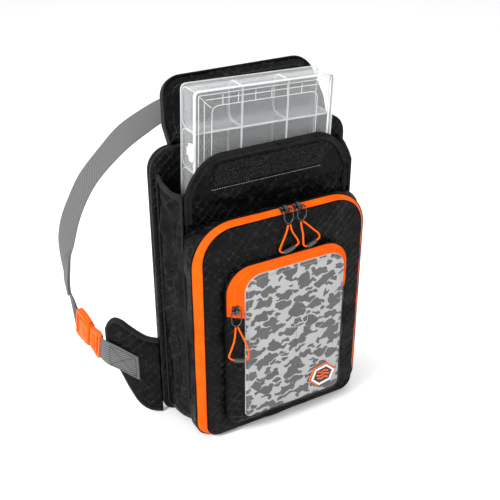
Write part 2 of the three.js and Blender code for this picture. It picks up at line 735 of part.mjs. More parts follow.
// Rows of each half of the buckle: along it, and its half width, as shares
const FRAME_ROWS = [
  { along: 0, half: 0.8 }, { along: 0.2, half: 0.86 }, { along: 0.5, half: 0.98 }, { along: 0.8, half: 1 },
  { along: 1, half: 0.94 },
];
const TONGUE_ROWS = [
  { along: 0, half: 0.92 }, { along: 0.3, half: 1 }, { along: 0.7, half: 0.84 }, { along: 1, half: 0.78 },
];

function buckleOutline(rows, length) {
  const upper = rows.map(({ along, half }) => [along * length, (half * BUCKLE.width) / 2]);
  return [...upper.map(([x, y]) => [x, -y]), ...upper.reverse()];
}

function buckle() {
  const slotHalf = STRAP_WIDTH / 2 - 3;
  const { tongueLength, frameLength, thickness, bar, slot } = BUCKLE;
  const tongue = plate(buckleOutline(TONGUE_ROWS, tongueLength), thickness * 0.7,
    [[bar, bar + slot, slotHalf]]);
  const frame = plate(buckleOutline(FRAME_ROWS, frameLength), thickness, [
    [frameLength - 2 * (bar + slot), frameLength - 2 * bar - slot, slotHalf],
    [frameLength - bar - slot, frameLength - bar, slotHalf]]);
  return [
    onBuckle(piece('buckle_tongue', tongue, ORANGE_PLASTIC), GAP),
    onBuckle(piece('buckle_frame', frame, ORANGE_PLASTIC), tongueLength + 2 * GAP),
  ];
}

// Webbing tab: sewn flat on the wing's outer face, then straight on to the buckle
const TAB_ROWS = [
  { along: 0.4, height: 0.52 }, { along: 0.6, height: 0.58 }, { along: 0.8, height: 0.63 }, { along: 1, height: 0.66 },
];

function tab() {
  const out = WING.thickness / 2 + GAP + TAB_THICKNESS / 2;
  const rows = TAB_ROWS.map(({ along, height }) => {
    const { x, y, normal } = wingAt(along);
    return { at: v3(x, y, height * WING.height).addScaledVector(normal, out), across: v3(0, 0, -1) };
  });
  [-TAB_STRAIGHT, -TAB_STRAIGHT / 2, -GAP].forEach((start) => rows.push({
    at: tabEnd.clone().addScaledVector(buckleAlong, start), across: buckleAcross.clone().negate(),
  }));
  return piece('buckle_tab', ribbon(ribbonFrames(rows, 3), TAB_WIDTH, TAB_THICKNESS), GREY_WEBBING);
}

// The strap's two ends: its seam on the back panel, and the buckle frame's far end
const strapStart = v3(STRAP_SEAM.x, REAR + GAP + STRAP_THICKNESS / 2, STRAP_SEAM.z);
const strapEnd = tabEnd.clone()
  .addScaledVector(buckleAlong, BUCKLE.tongueLength + BUCKLE.frameLength + 3 * GAP);

// The strap's route: up behind the lid, out to the left and down to the buckle. Each
// row is a share of the way from its start to its end, and a share of the height
// from its end to the back panel's top edge.
const STRAP_ROWS = [
  { out: 0, back: 0.01, up: 0.89, across: [-1, 0, 0] },
  { out: 0.005, back: 0.05, up: 0.965, across: [-1, 0, 0.05] },
  { out: 0.05, back: 0.22, up: 1.045, across: [-1, -0.2, -0.1] },
  { out: 0.155, back: 0.37, up: 1.095, across: [-0.8, -0.5, -0.4] },
  { out: 0.295, back: 0.44, up: 1.11, across: [-0.5, -0.72, -0.5] },
  { out: 0.43, back: 0.48, up: 1.09, across: [-0.38, -0.76, -0.52] },
  { out: 0.55, back: 0.52, up: 1.045, across: [-0.2, -0.85, -0.48] },
  { out: 0.665, back: 0.56, up: 0.99, across: [-0.02, -0.92, -0.38] },
  { out: 0.78, back: 0.61, up: 0.905, across: [0.1, -0.97, -0.14] },
  { out: 0.89, back: 0.65, up: 0.81, across: [0.3, -0.93, 0.1] },
  { out: 0.965, back: 0.67, up: 0.715, across: [0.32, -0.9, 0.22] },
  { out: 1.02, back: 0.69, up: 0.62, across: [0.3, -0.93, 0.2] },
  { out: 1.055, back: 0.72, up: 0.51, across: [0.2, -0.96, 0.12] },
  { out: 1.065, back: 0.76, up: 0.43, across: [0.06, -0.95, 0.3] },
  { out: 1.06, back: 0.82, up: 0.345, across: [-0.04, -0.92, 0.38] },
  { out: 1.05, back: 0.9, up: 0.25, across: [-0.15, -0.88, 0.46] },
  { out: 1.035, back: 0.98, up: 0.165, across: [-0.19, -0.78, 0.6] },
  { out: 1.018, back: 1.02, up: 0.09, across: [-0.1, -0.55, 0.83] },
];
const TAIL = { share: 0.34, fromBuckle: 9, clear: 0.6 };    // share and steps of the strap's frames

function straps() {
  const rows = [{ at: strapStart, across: v3(-1, 0, 0) }];
  STRAP_ROWS.forEach(({ out, back, up, across }) => {
    const at = v3(
      THREE.MathUtils.lerp(strapStart.x, strapEnd.x, out),
      THREE.MathUtils.lerp(strapStart.y, strapEnd.y, back),
      THREE.MathUtils.lerp(strapEnd.z, BACK_HEIGHT, up));
    rows.push({ at, across: v3(...across) });
  });
  rows.push({ at: strapEnd.clone().addScaledVector(buckleAlong, TAB_STRAIGHT), across: buckleAcross });
  rows.push({ at: strapEnd, across: buckleAcross });
  const frames = ribbonFrames(rows, 3);
  const doubled = frames.slice(Math.round(frames.length * (1 - TAIL.share)), -TAIL.fromBuckle);
  const outside = STRAP_THICKNESS + TAIL.clear;
  return [
    piece('strap', ribbon(frames, STRAP_WIDTH, STRAP_THICKNESS), GREY_WEBBING),
    piece('strap_tail', ribbon(doubled, STRAP_WIDTH * 0.9, STRAP_THICKNESS, outside), GREY_WEBBING),
  ];
}

// Clear tray, in its own frame: its top edge at zero, its front face at zero
const TRAY_COLUMNS = 3;
const TRAY_ROWS = [47, 46, null];    // heights of the cells, and the last takes the rest
const SCOOP = 9;                     // rounding of each cell's floor at its two ends

function traySlab(front, back) {
  const size = {
    left: -TRAY.width / 2, right: TRAY.width / 2, bottom: -TRAY.length, top: 0,
    cornerRadius: TRAY.radius, footRadius: TRAY.radius,
  };
  return slab(size, [{ by: 0, y: front }, { by: 0, y: back }]);
}

// One cell as a solid to cut away: open at the front, its floor rounded up at the ends
function cell(x, width, low, high, front, floor) {
  const shape = new THREE.Shape([[front, low], [floor - SCOOP, low]].map(([a, b]) => new THREE.Vector2(a, b)));
  shape.absarc(floor - SCOOP, low + SCOOP, SCOOP, -Math.PI / 2, 0, false);
  shape.absarc(floor - SCOOP, high - SCOOP, SCOOP, 0, Math.PI / 2, false);
  shape.lineTo(front, high);
  const geometry = new THREE.ExtrudeGeometry(shape, { depth: width, bevelEnabled: false, curveSegments: 4 });
  const swap = new THREE.Matrix4().makeBasis(v3(0, 1, 0), v3(0, 0, 1), v3(1, 0, 0)).setPosition(x, 0, 0);
  return geometry.applyMatrix4(swap);
}

// Low and high edge of each row of cells
function trayRows() {
  const rows = [];
  let high = -TRAY.wall;
  TRAY_ROWS.forEach((height) => {
    const low = height === null ? -TRAY.length + TRAY.wall : high - height;
    rows.push({ low, high });
    high = low - TRAY.wall;
  });
  return rows;
}

function tray() {
  const front = TRAY.lidDepth + GAP;
  const floor = TRAY_DEPTH - TRAY.wall;
  const width = (TRAY.width - (TRAY_COLUMNS + 1) * TRAY.wall) / TRAY_COLUMNS;
  const cells = trayRows().flatMap(({ low, high }) => Array.from({ length: TRAY_COLUMNS }, (_, i) => {
    const x = -TRAY.width / 2 + TRAY.wall + i * (width + TRAY.wall);
    return cell(x, width, low, high, front - 1, floor);
  }));
  const recess = slab({
    left: -TRAY.width / 2 + TRAY.rim, right: TRAY.width / 2 - TRAY.rim,
    bottom: -TRAY.length + TRAY.rim, top: -TRAY.rim, cornerRadius: TRAY.radius, footRadius: TRAY.radius,
  }, [{ by: 0, y: -1 }, { by: 0, y: TRAY.recess }]);
  const latchAt = (z) => join(
    box(LATCH.x, LATCH.y, LATCH.z, [-TRAY.width / 2 - GAP - LATCH.x / 2, LATCH.y / 2 + 0.5, z]),
    box(LATCH.foot, LATCH.y + 4, LATCH.z * 0.6, [-TRAY.width / 2 - GAP - LATCH.foot / 2, LATCH.y / 2 + 2.5, z]),
  );
  const group = new THREE.Group();
  group.position.set(TRAY_SHIFT, wallBack + GAP, TRAY_TOP);
  group.rotation.y = radians(TRAY_TILT);
  group.add(
    piece('tray_base', cut(traySlab(front, TRAY_DEPTH), ...cells), CLEAR),
    piece('tray_lid', cut(traySlab(0, TRAY.lidDepth), recess), CLEAR),
    piece('tray_latch_1', latchAt(-LATCH.fromEnd), CLEAR),
    piece('tray_latch_2', latchAt(-TRAY.length + LATCH.fromEnd), CLEAR),
  );
  return group;
}

const bag = new THREE.Group();
bag.add(
  backPanel(), mainGusset(),
  gussetBinding('gusset_binding_left', -1), gussetBinding('gusset_binding_right', 1),
  frontWall(), flapBinding(), loopStrip(), lid(),
  pocketGusset(), ...pocketBand(), pocketPanel(),
  ...smallPocket(), badge(), ...pulls(),
  ...straps(), wing(), tab(), ...buckle(),
  tray(),
);

export default bag;
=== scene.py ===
"""Fishing tackle sling bag with its clear tray: the looks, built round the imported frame."""
import math

import bmesh
import bpy
import numpy as np
from mathutils import Matrix, Vector, noise

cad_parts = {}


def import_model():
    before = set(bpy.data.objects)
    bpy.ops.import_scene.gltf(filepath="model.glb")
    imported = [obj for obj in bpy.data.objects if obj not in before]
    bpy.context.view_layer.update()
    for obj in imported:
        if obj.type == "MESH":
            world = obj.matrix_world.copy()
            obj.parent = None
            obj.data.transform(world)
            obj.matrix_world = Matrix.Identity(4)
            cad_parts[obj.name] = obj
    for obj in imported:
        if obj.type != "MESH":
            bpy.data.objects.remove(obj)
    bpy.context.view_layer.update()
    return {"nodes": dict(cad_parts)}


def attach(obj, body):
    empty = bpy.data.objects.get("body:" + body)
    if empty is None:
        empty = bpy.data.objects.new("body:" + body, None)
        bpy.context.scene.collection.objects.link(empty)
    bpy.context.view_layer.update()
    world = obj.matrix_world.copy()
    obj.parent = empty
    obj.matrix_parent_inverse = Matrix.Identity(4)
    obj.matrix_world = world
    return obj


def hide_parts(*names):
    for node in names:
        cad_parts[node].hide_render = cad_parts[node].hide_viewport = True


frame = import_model()

MM = 0.001
GAP = 0.3 * MM

# Camera, set to the photograph's view
EYE = Vector((-0.47765, -0.80144, 0.74667))
BACK = Vector((-0.4307, -0.7612, 0.4848))
LENS = 61.2
SENSOR = 36.0


def make_camera():
    data = bpy.data.cameras.new("camera")
    data.lens = LENS
    data.sensor_width = SENSOR
    camera = bpy.data.objects.new("camera", data)
    camera.location = EYE
    camera.rotation_mode = "QUATERNION"
    camera.rotation_quaternion = BACK.to_track_quat("Z", "Y")
    bpy.context.scene.collection.objects.link(camera)
    bpy.context.scene.camera = camera


# Geometry helpers
def spline(points, per, least=1e-9):
    """A centripetal spline through the points, with the same number of steps between each two."""
    given = np.asarray(points, float)
    padded = np.vstack([2 * given[0] - given[1], given, 2 * given[-1] - given[-2]])
    dense = []
    for i in range(len(given) - 1):
        p0, p1, p2, p3 = padded[i:i + 4]
        t1 = max(np.linalg.norm(p1 - p0), least) ** 0.5
        t2 = t1 + max(np.linalg.norm(p2 - p1), least) ** 0.5
        t3 = t2 + max(np.linalg.norm(p3 - p2), least) ** 0.5
        for t in np.linspace(t1, t2, per, endpoint=False):
            a1 = ((t1 - t) * p0 + t * p1) / t1
            a2 = ((t2 - t) * p1 + (t - t1) * p2) / (t2 - t1)
            a3 = ((t3 - t) * p2 + (t - t2) * p3) / (t3 - t2)
            b1 = ((t2 - t) * a1 + t * a2) / t2
            b2 = ((t3 - t) * a2 + (t - t1) * a3) / (t3 - t1)
            dense.append(((t2 - t) * b1 + (t - t1) * b2) / (t2 - t1))
    dense.append(given[-1])
    return np.array(dense)


def smooth_path(points, count):
    """Even points along a spline through the given ones, ends included."""
    return resample(spline(points, 12), count)


def resample(points, count, closed=False):
    """Points at equal steps along a polyline."""
    line = np.asarray(points, float)
    if closed:
        line = np.vstack([line, line[:1]])
    steps = np.linalg.norm(np.diff(line, axis=0), axis=1)
    length = np.concatenate([[0], np.cumsum(steps)])
    at = np.linspace(0, length[-1], count + 1 if closed else count)
    if closed:
        at = at[:-1]
    return np.stack([np.interp(at, length, line[:, k]) for k in range(line.shape[1])], 1)


def arc(x, z, radius, start, end, steps=14):
    angles = np.radians(np.linspace(start, end, steps + 1))
    return [(x + radius * math.cos(a), z + radius * math.sin(a)) for a in angles]


def rounded(left, right, bottom, top, corner, foot, count=260):
    """A rounded outline in X and Z from the middle of its foot, up the right side."""
    points = [((left + right) / 2, bottom)]
    points += arc(right - foot, bottom + foot, foot, -90, 0)
    points += arc(right - corner, top - corner, corner, 0, 90)
    points += arc(left + corner, top - corner, corner, 90, 180)
    points += arc(left + foot, bottom + foot, foot, 180, 270)
    return resample(points, count, closed=True)


def inset(outline, by):
    """The outline moved inwards by an amount along its own normals."""
    along = np.roll(outline, -1, 0) - np.roll(outline, 1, 0)
    along /= np.maximum(np.linalg.norm(along, axis=1, keepdims=True), 1e-12)
    inward = np.stack([-along[:, 1], along[:, 0]], 1)
    return outline + by * inward


def lift(flat, y):
    """A flat outline set upright at a depth."""
    return np.stack([flat[:, 0], np.full(len(flat), y), flat[:, 1]], 1)


def mesh_piece(name, verts, faces, uvs, material, sharp=None):
    """A mesh object with a map named flat, in metres, and smooth faces."""
    data = bpy.data.meshes.new(name)
    data.from_pydata([tuple(v) for v in verts], [], faces)
    layer = data.uv_layers.new(name="flat")
    layer.data.foreach_set("uv", np.asarray(uvs, np.float32).ravel())
    work = bmesh.new()
    work.from_mesh(data)
    bmesh.ops.recalc_face_normals(work, faces=work.faces)
    work.to_mesh(data)
    work.free()
    data.polygons.foreach_set("use_smooth", [True] * len(data.polygons))
    if sharp:
        data.set_sharp_from_angle(angle=math.radians(sharp))
    data.materials.append(material)
    piece = bpy.data.objects.new(name, data)
    bpy.context.scene.collection.objects.link(piece)
    return piece


def skin(name, rings, material, ends="caps", planar=False, sharp=None, closed=True):
    """A skin over equal rings. ends is caps, loop or open; the map follows the rings' flow,
    or X and Z where planar."""
    rings = np.asarray(rings, float)
    rows, count = rings.shape[:2]
    across = np.linalg.norm(np.diff(rings, axis=0), axis=2).mean(1)
    v_at = np.concatenate([[0], np.cumsum(across), [np.sum(across)]])
    middle = rings[rows // 2]
    along = np.linalg.norm(np.roll(middle, -1, 0) - middle, axis=1)
    u_at = np.concatenate([[0], np.cumsum(along)])
    verts = rings.reshape(-1, 3)
    faces, uvs = [], []
    for i in range(rows if ends == "loop" else rows - 1):
        near, far = i * count, ((i + 1) % rows) * count
        for j in range(count if closed else count - 1):
            k = (j + 1) % count
            corners = [(near + j, i, j), (far + j, i + 1, j), (far + k, i + 1, j + 1), (near + k, i, j + 1)]
            faces.append([c[0] for c in corners])
            for index, row, column in corners:
                if planar:
                    uvs.append((verts[index][0], verts[index][2]))
                else:
                    uvs.append((u_at[column], v_at[min(row, rows)]))
    if ends == "caps" and closed:
        for start in (0, (rows - 1) * count):
            faces.append(list(range(start, start + count)))
            uvs += [(verts[start + j][0], verts[start + j][2]) for j in range(count)]
    return mesh_piece(name, verts, faces, uvs, material, sharp)


def edge_profile(radius, back, front, steps=5):
    """Inset and depth round a padded edge, from the back face to the front face."""
    turn = np.linspace(0, math.pi / 2, steps)
    lower = [(radius * (1 - math.sin(a)), back - radius * (1 - math.cos(a))) for a in turn]
    upper = [(by, front + (back - y)) for by, y in reversed(lower)]
    return lower + upper


CORE = 0.98         # the part of half the lesser width that the middle line of a pad keeps from its ends
SPINE = 0.02        # the width that the middle line keeps
CROWN_REACH = 1.6   # how soon a face reaches its full crown


def pad(name, outline, back, front, radius, material, crown_back=0.0, crown_front=0.0, rings=16):
    """A padded slab: a rounded edge, and faces that crown towards the middle."""
    low, high = outline[:, 1].min(), outline[:, 1].max()
    left, right = outline[:, 0].min(), outline[:, 0].max()
    half = min(right - left, high - low) / 2 * CORE
    centre, level = (left + right) / 2, (low + high) / 2
    rim = inset(outline, radius)
    if right - left > high - low:
        core = [np.clip(rim[:, 0], left + half, right - half), level + (rim[:, 1] - level) * SPINE]
    else:
        core = [centre + (rim[:, 0] - centre) * SPINE, np.clip(rim[:, 1], low + half, high - half)]
    core = np.stack(core, 1)

    def face(depth, crown, outward):
        for t in np.linspace(0, 1, rings + 1)[1:]:
            rise = crown * math.sin(min(1.0, t * CROWN_REACH) * math.pi / 2)
            yield lift(rim * (1 - t) + core * t, depth + outward * rise)

    made = list(face(back, crown_back, 1))[::-1]
    made += [lift(inset(outline, by), y) for by, y in edge_profile(radius, back, front)]
    made += list(face(front, crown_front, -1))
    return skin(name, made, material, planar=True)


def sweep(name, path, section, material, ends="caps", across=None):
    """A section drawn along a path. across gives the way of the section's first axis."""
    path = np.asarray(path, float)
    tangent = np.gradient(path, axis=0)
    if ends == "loop":
        tangent = np.roll(path, -1, 0) - np.roll(path, 1, 0)
    tangent /= np.linalg.norm(tangent, axis=1, keepdims=True)
    if across is None:
        across = np.tile([0.0, 1.0, 0.0], (len(path), 1))
    across = across - tangent * np.sum(across * tangent, 1, keepdims=True)
    across /= np.linalg.norm(across, axis=1, keepdims=True)
    up = np.cross(tangent, across)
    rings = [[p + a * x + u * y for x, y in section] for p, a, u in zip(path, across, up)]
    return skin(name, rings, material, ends=ends)


def circle(radius, sides=10):
    angles = np.linspace(0, 2 * math.pi, sides, endpoint=False)
    return [(radius * math.cos(a), radius * math.sin(a)) for a in angles]


def lens_section(width, thickness, sides=5):
    """A flat section with rounded edges: its width along the first axis."""
    r = thickness / 2
    right = arc(width / 2 - r, 0, r, -90, 90, sides)
    left = arc(-width / 2 + r, 0, r, 90, 270, sides)
    return right + left


def ruffle(piece, amount, size, seed, way=None, where=None):
    """Moves a piece's points by smooth noise, along their normals or a given way."""
    offset = Vector((seed * 1.7, seed * 2.3, seed * 3.1))
    for vertex in piece.data.vertices:
        share = where(vertex.co) if where else 1.0
        if share <= 0:
            continue
        at = Vector((vertex.co.x / size[0], vertex.co.y / size[1], vertex.co.z / size[2])) + offset
        direction = way(vertex.co) if way else vertex.normal
        vertex.co += direction * (noise.noise(at) * amount * share)


def bend(piece, place):
    """Moves each point of a piece to its place."""
    for vertex in piece.data.vertices:
        vertex.co = place(vertex.co)
    return piece


def finish_piece(piece, body, slot, *nodes):
    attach(piece, body)
    if nodes:
        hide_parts(*nodes)
    return piece


def before(depth):
    """Full folds on what lies in front of a depth, and none behind it."""
    return lambda co: 1.0 if co.y < depth else 0.0


def on_bag(piece, slot, *nodes):
    return finish_piece(piece, "bag", slot, *nodes)


def facing(line, way):
    """The same way along Y for each point of a line."""
    return np.tile([0.0, way, 0.0], (len(line), 1))


# Materials
def grey(value):
    return (value, value, value)


class Graph:
    """A material's nodes, with short calls for what the finishes share."""

    def __init__(self, name, colour, roughness, metallic=0.0, sheen=0.0, specular=0.5):
        self.material = bpy.data.materials.new(name)
        self.material.use_nodes = True
        self.tree = self.material.node_tree
        self.shader = self.tree.nodes["Principled BSDF"]
        values = {
            "Base Color": (*colour, 1), "Roughness": roughness, "Metallic": metallic,
            "Sheen Weight": sheen, "Specular IOR Level": specular,
        }
        for socket, value in values.items():
            self.shader.inputs[socket].default_value = value

    def node(self, kind, **settings):
        made = self.tree.nodes.new(kind)
        for key, value in settings.items():
            setattr(made, key, value)
        return made

    def put(self, source, target):
        self.tree.links.new(source, target)

    def math(self, operation, first, second=None):
        made = self.node("ShaderNodeMath", operation=operation)
        for index, value in enumerate((first, second)):
            if value is None:
                continue
            if isinstance(value, (int, float)):
                made.inputs[index].default_value = value
            else:
                self.put(value, made.inputs[index])
        return made.outputs[0]

    def flat(self, turn=0.0):
        """The flat map, turned."""
        source = self.node("ShaderNodeUVMap", uv_map="flat")
        mapping = self.node("ShaderNodeMapping")
        mapping.inputs["Rotation"].default_value[2] = math.radians(turn)
        self.put(source.outputs[0], mapping.inputs["Vector"])
        return mapping.outputs[0]

    def place(self):
        return self.node("ShaderNodeTexCoord").outputs["Object"]

    def split(self, vector):
        made = self.node("ShaderNodeSeparateXYZ")
        self.put(vector, made.inputs[0])
        return made.outputs

    def noise(self, vector, size, detail=3.0):
        made = self.node("ShaderNodeTexNoise")
        made.inputs["Scale"].default_value = 1 / size
        made.inputs["Detail"].default_value = detail
        self.put(vector, made.inputs["Vector"])
        return made.outputs["Fac"]

    def ramp(self, value, low, high):
        """0 below low, 1 above high."""
        made = self.node("ShaderNodeMapRange", interpolation_type="SMOOTHSTEP")
        made.inputs["From Min"].default_value = low
        made.inputs["From Max"].default_value = high
        self.put(value, made.inputs["Value"])
        return made.outputs["Result"]

    def wave(self, value, period):
        """A sine of a length in metres, from 0 to 1."""
        turned = self.math("SINE", self.math("MULTIPLY", value, 2 * math.pi / period))
        return self.math("MULTIPLY", self.math("ADD", turned, 1.0), 0.5)

    def blend(self, factor, first, second):
        made = self.node("ShaderNodeMix", data_type="RGBA")
        colours = [s for s in made.inputs if s.type == "RGBA"]
        for socket, value in zip(colours, (first, second)):
            if isinstance(value, tuple):
                socket.default_value = (*value, 1)
            else:
                self.put(value, socket)
        self.put(factor, made.inputs[0])
        return made.outputs[2]

    def colour(self, socket):
        self.put(socket, self.shader.inputs["Base Color"])

    def rough(self, value, low, high):
        self.put(self.ranged(value, low, high), self.shader.inputs["Roughness"])

    def ranged(self, value, low, high):
        return self.math("ADD", self.math("MULTIPLY", value, high - low), low)

    def bump(self, height, distance, strength=1.0, under=None):
        made = self.node("ShaderNodeBump")
        made.inputs["Strength"].default_value = strength
        made.inputs["Distance"].default_value = distance
        self.put(height, made.inputs["Height"])
        if under is not None:
            self.put(under, made.inputs["Normal"])
        self.put(made.outputs[0], self.shader.inputs["Normal"])
        return made.outputs[0]


def plain_cloth(name, colour, lighter, roughness=0.75, sheen=0.15):
    """Tight plain weave with soft dents and dusty wear."""
    g = Graph(name, colour, roughness, sheen=sheen, specular=0.07)
    place = g.place()
    dents = g.bump(g.noise(place, 0.016, 4), 0.0012, 0.5)
    u, v, _ = g.split(g.flat())
    weave = g.math("MULTIPLY", g.wave(u, 0.0011), g.wave(v, 0.0011))
    g.bump(weave, 0.00012, 0.6, under=dents)
    wear = g.ramp(g.noise(place, 0.03, 5), 0.45, 0.8)
    g.colour(g.blend(wear, colour, lighter))
    return g.material


def ripstop(name, cell=0.0086):
    """Coated cloth with a relief of diamond cells, with a painted sheen along its raised lines and painted
    glints in small patches.
    """
    g = Graph(name, (0.006, 0.006, 0.0065), 0.5, specular=0.09)
    place = g.place()
    crumple = g.bump(g.noise(place, 0.017, 5), 0.0042, 0.8)
    u, v, _ = g.split(g.flat(turn=45))
    lines = [g.math("ABSOLUTE", g.math("SINE", g.math("MULTIPLY", c, math.pi / cell))) for c in (u, v)]
    pillow = g.math("POWER", g.math("MULTIPLY", *lines), 0.45)
    patchy = g.ramp(g.noise(place, 0.045, 2), 0.4, 0.62)
    ridge = g.math("SUBTRACT", 1.0, g.ramp(pillow, 0.28, 0.62))
    height = g.math("MULTIPLY", ridge, g.ranged(patchy, 0.04, 1.0))
    g.bump(height, 0.0009, under=crumple)
    # Painted highlights: the lighter colour on the raised lines is a painted sheen, and the small noise
    # patches are painted glints.
    painted_sheen = g.math("MULTIPLY", height, g.ramp(g.noise(place, 0.012, 4), 0.35, 0.7))
    painted_glints = g.math("MULTIPLY", g.ramp(g.noise(place, 0.008, 5), 0.54, 0.74), 0.55)
    painted_sheen = g.math("MAXIMUM", painted_sheen, painted_glints)
    g.colour(g.blend(painted_sheen, (0.0012, 0.0012, 0.0014), (0.02, 0.02, 0.0215)))
    g.rough(pillow, 0.34, 0.46)
    return g.material


def tape(name, colour, lighter, rib=0.0016):
    """Ribbed edge tape, with painted highlights on its rib crests."""
    g = Graph(name, colour, 0.65, sheen=0.02, specular=0.08)
    ribs = g.wave(g.split(g.flat())[0], rib)
    g.bump(ribs, 0.0003, 0.8)
    # Painted highlight: the lighter colour on the rib crests.
    g.colour(g.blend(g.math("MULTIPLY", ribs, g.noise(g.place(), 0.01)), colour, lighter))
    return g.material


def fleece(name):
    """Brushed loops of a fastener strip, with painted highlights on the raised fuzz."""
    g = Graph(name, grey(0.004), 0.95, sheen=0.04, specular=0.07)
    place = g.place()
    fuzz = g.noise(place, 0.0011, 5)
    g.bump(fuzz, 0.0015, 1.0)
    # Painted highlight: the raised fuzz is coloured lighter.
    g.colour(g.blend(g.ramp(fuzz, 0.47, 0.66), grey(0.0015), grey(0.032)))
    return g.material


def orange_coating(name):
    """Coated orange zip band, with fine ribs along it."""
    g = Graph(name, (0.85, 0.12, 0.001), 0.6, specular=0.07)
    ribs = g.wave(g.split(g.flat())[1], 0.0012)
    soft = g.bump(g.noise(g.place(), 0.012), 0.0006, 0.5)
    g.bump(ribs, 0.0001, 0.4, under=soft)
    shade = g.ramp(g.noise(g.place(), 0.02, 3), 0.35, 0.7)
    g.colour(g.blend(shade, (0.69, 0.078, 0.0006), (0.77, 0.1, 0.0008)))
    return g.material


def print_cloth(name):
    """Pale cloth with a generic print of grey blotches."""
    g = Graph(name, grey(0.45), 0.7, sheen=0.03, specular=0.2)
    place = g.place()
    sway = g.node("ShaderNodeTexNoise")
    sway.inputs["Scale"].default_value = 1 / 0.011
    sway.inputs["Detail"].default_value = 1.6
    base = g.flat()
    g.put(base, sway.inputs["Vector"])
    shift = g.node("ShaderNodeVectorMath", operation="MULTIPLY_ADD")
    shift.inputs[1].default_value = (0.016, 0.016, 0)
    g.put(sway.outputs["Color"], shift.inputs[0])
    g.put(base, shift.inputs[2])

    def blots(turn, size, stretch, reach, offset):
        mapping = g.node("ShaderNodeMapping")
        mapping.inputs["Rotation"].default_value[2] = math.radians(turn)
        mapping.inputs["Scale"].default_value = (stretch / size, 1 / size, 1)
        mapping.inputs["Location"].default_value = (offset, offset * 0.6, 0)
        g.put(shift.outputs[0], mapping.inputs["Vector"])
        cells = g.node("ShaderNodeTexVoronoi", voronoi_dimensions="2D")
        cells.inputs["Scale"].default_value = 1.0
        cells.inputs["Randomness"].default_value = 0.8
        g.put(mapping.outputs[0], cells.inputs["Vector"])
        return g.ramp(cells.outputs["Distance"], reach, reach - 0.03)

    large = blots(-38, 0.0155, 0.5, 0.37, 0.0)
    small = blots(28, 0.0088, 0.55, 0.32, 3.7)
    either = g.math("MAXIMUM", large, small)
    tone = g.noise(base, 0.04, 1)
    dark = g.blend(tone, grey(0.07), grey(0.115))
    u, v, _ = g.split(base)
    weave = g.math("MULTIPLY", g.wave(u, 0.0012), g.wave(v, 0.0012))
    pale = g.blend(weave, (0.33, 0.33, 0.334), (0.40, 0.40, 0.404))
    g.colour(g.blend(either, pale, dark))
    soft = g.bump(g.noise(place, 0.03, 3), 0.002, 0.5)
    g.bump(weave, 0.0002, 0.6, under=soft)
    return g.material


def webbing(name):
    """Grey twill webbing."""
    g = Graph(name, grey(0.26), 0.75, sheen=0.05, specular=0.2)
    u, v, _ = g.split(g.flat())
    twill = g.wave(g.math("ADD", u, g.math("MULTIPLY", v, 0.9)), 0.0034)
    cross = g.wave(u, 0.0013)
    threads = g.math("MULTIPLY", twill, g.ranged(cross, 0.6, 1.0))
    g.bump(threads, 0.0005, 0.8)
    g.colour(g.blend(threads, grey(0.062), grey(0.165)))
    return g.material


def moulded(name, colour, roughness, metallic=0.0, specular=0.5):
    """Moulded plastic, rubber or plated metal with a fine grain."""
    g = Graph(name, colour, roughness, metallic=metallic, specular=specular)
    place = g.place()
    g.bump(g.noise(place, 0.0006, 3), 0.00006, 0.5)
    g.rough(g.noise(place, 0.01, 3), roughness * 0.8, roughness * 1.25)
    return g.material


def clear(name, milk, roughness=0.14, veil=(0.74, 0.76, 0.77)):
    """Clear moulded plastic: a thin milky veil with gloss, denser at a glance."""
    g = Graph(name, veil, roughness, specular=0.4)
    weight = g.node("ShaderNodeLayerWeight")
    weight.inputs["Blend"].default_value = 0.35
    cloud = g.noise(g.place(), 0.03, 2)
    dense = g.math("ADD", g.math("MULTIPLY", weight.outputs["Facing"], 0.24), milk)
    g.put(g.math("MULTIPLY", dense, g.ranged(cloud, 0.8, 1.2)), g.shader.inputs["Alpha"])
    g.bump(g.noise(g.place(), 0.02, 2), 0.0003, 0.4)
    return g.material


BLACK = plain_cloth("black_cloth", (0.002, 0.002, 0.0023), (0.006, 0.006, 0.0065), roughness=0.6, sheen=0.01)
RIPSTOP = ripstop("ripstop_cloth")
# The second colour of a tape is its painted highlight on the rib crests.
BINDING = tape("binding_tape", (0.003, 0.003, 0.0033), (0.04, 0.04, 0.042))
FLEECE = fleece("loop_fleece")
ORANGE = orange_coating("orange_zip_band")
PRINT = print_cloth("blotch_print_cloth")
WEBBING = webbing("grey_twill_webbing")
THREAD = plain_cloth("grey_thread", grey(0.035), grey(0.06))
PALE_EDGE = plain_cloth("pale_edging", grey(0.3), grey(0.42))
ORANGE_PLASTIC = moulded("orange_plastic", (0.8, 0.1, 0.0008), 0.5, specular=0.18)
# The cord's second colour is its painted highlight on the rib crests.
ORANGE_CORD = tape("orange_cord_braid", (0.7, 0.085, 0.001), (0.9, 0.16, 0.003), rib=0.0014)
GUNMETAL = moulded("gunmetal", (0.075, 0.075, 0.08), 0.32, metallic=1.0)
GRIP = moulded("smoky_grip", (0.03, 0.033, 0.033), 0.35)
BADGE_BLACK = moulded("badge_black", grey(0.02), 0.55)
BADGE_WHITE = moulded("badge_white", grey(0.75), 0.55)
BADGE_ORANGE = moulded("badge_orange", (0.9, 0.13, 0.01), 0.5)
CLEAR = clear("clear_plastic", 0.045)
# A denser, rougher milky white for the tray's rims, edges, moulded lines and latches: its whiteness is a
# painted highlight for the light that the clear edges catch.
EDGE_HIGHLIGHT = clear("painted_edge_highlight_plastic", 0.46, roughness=0.35, veil=(0.84, 0.85, 0.86))


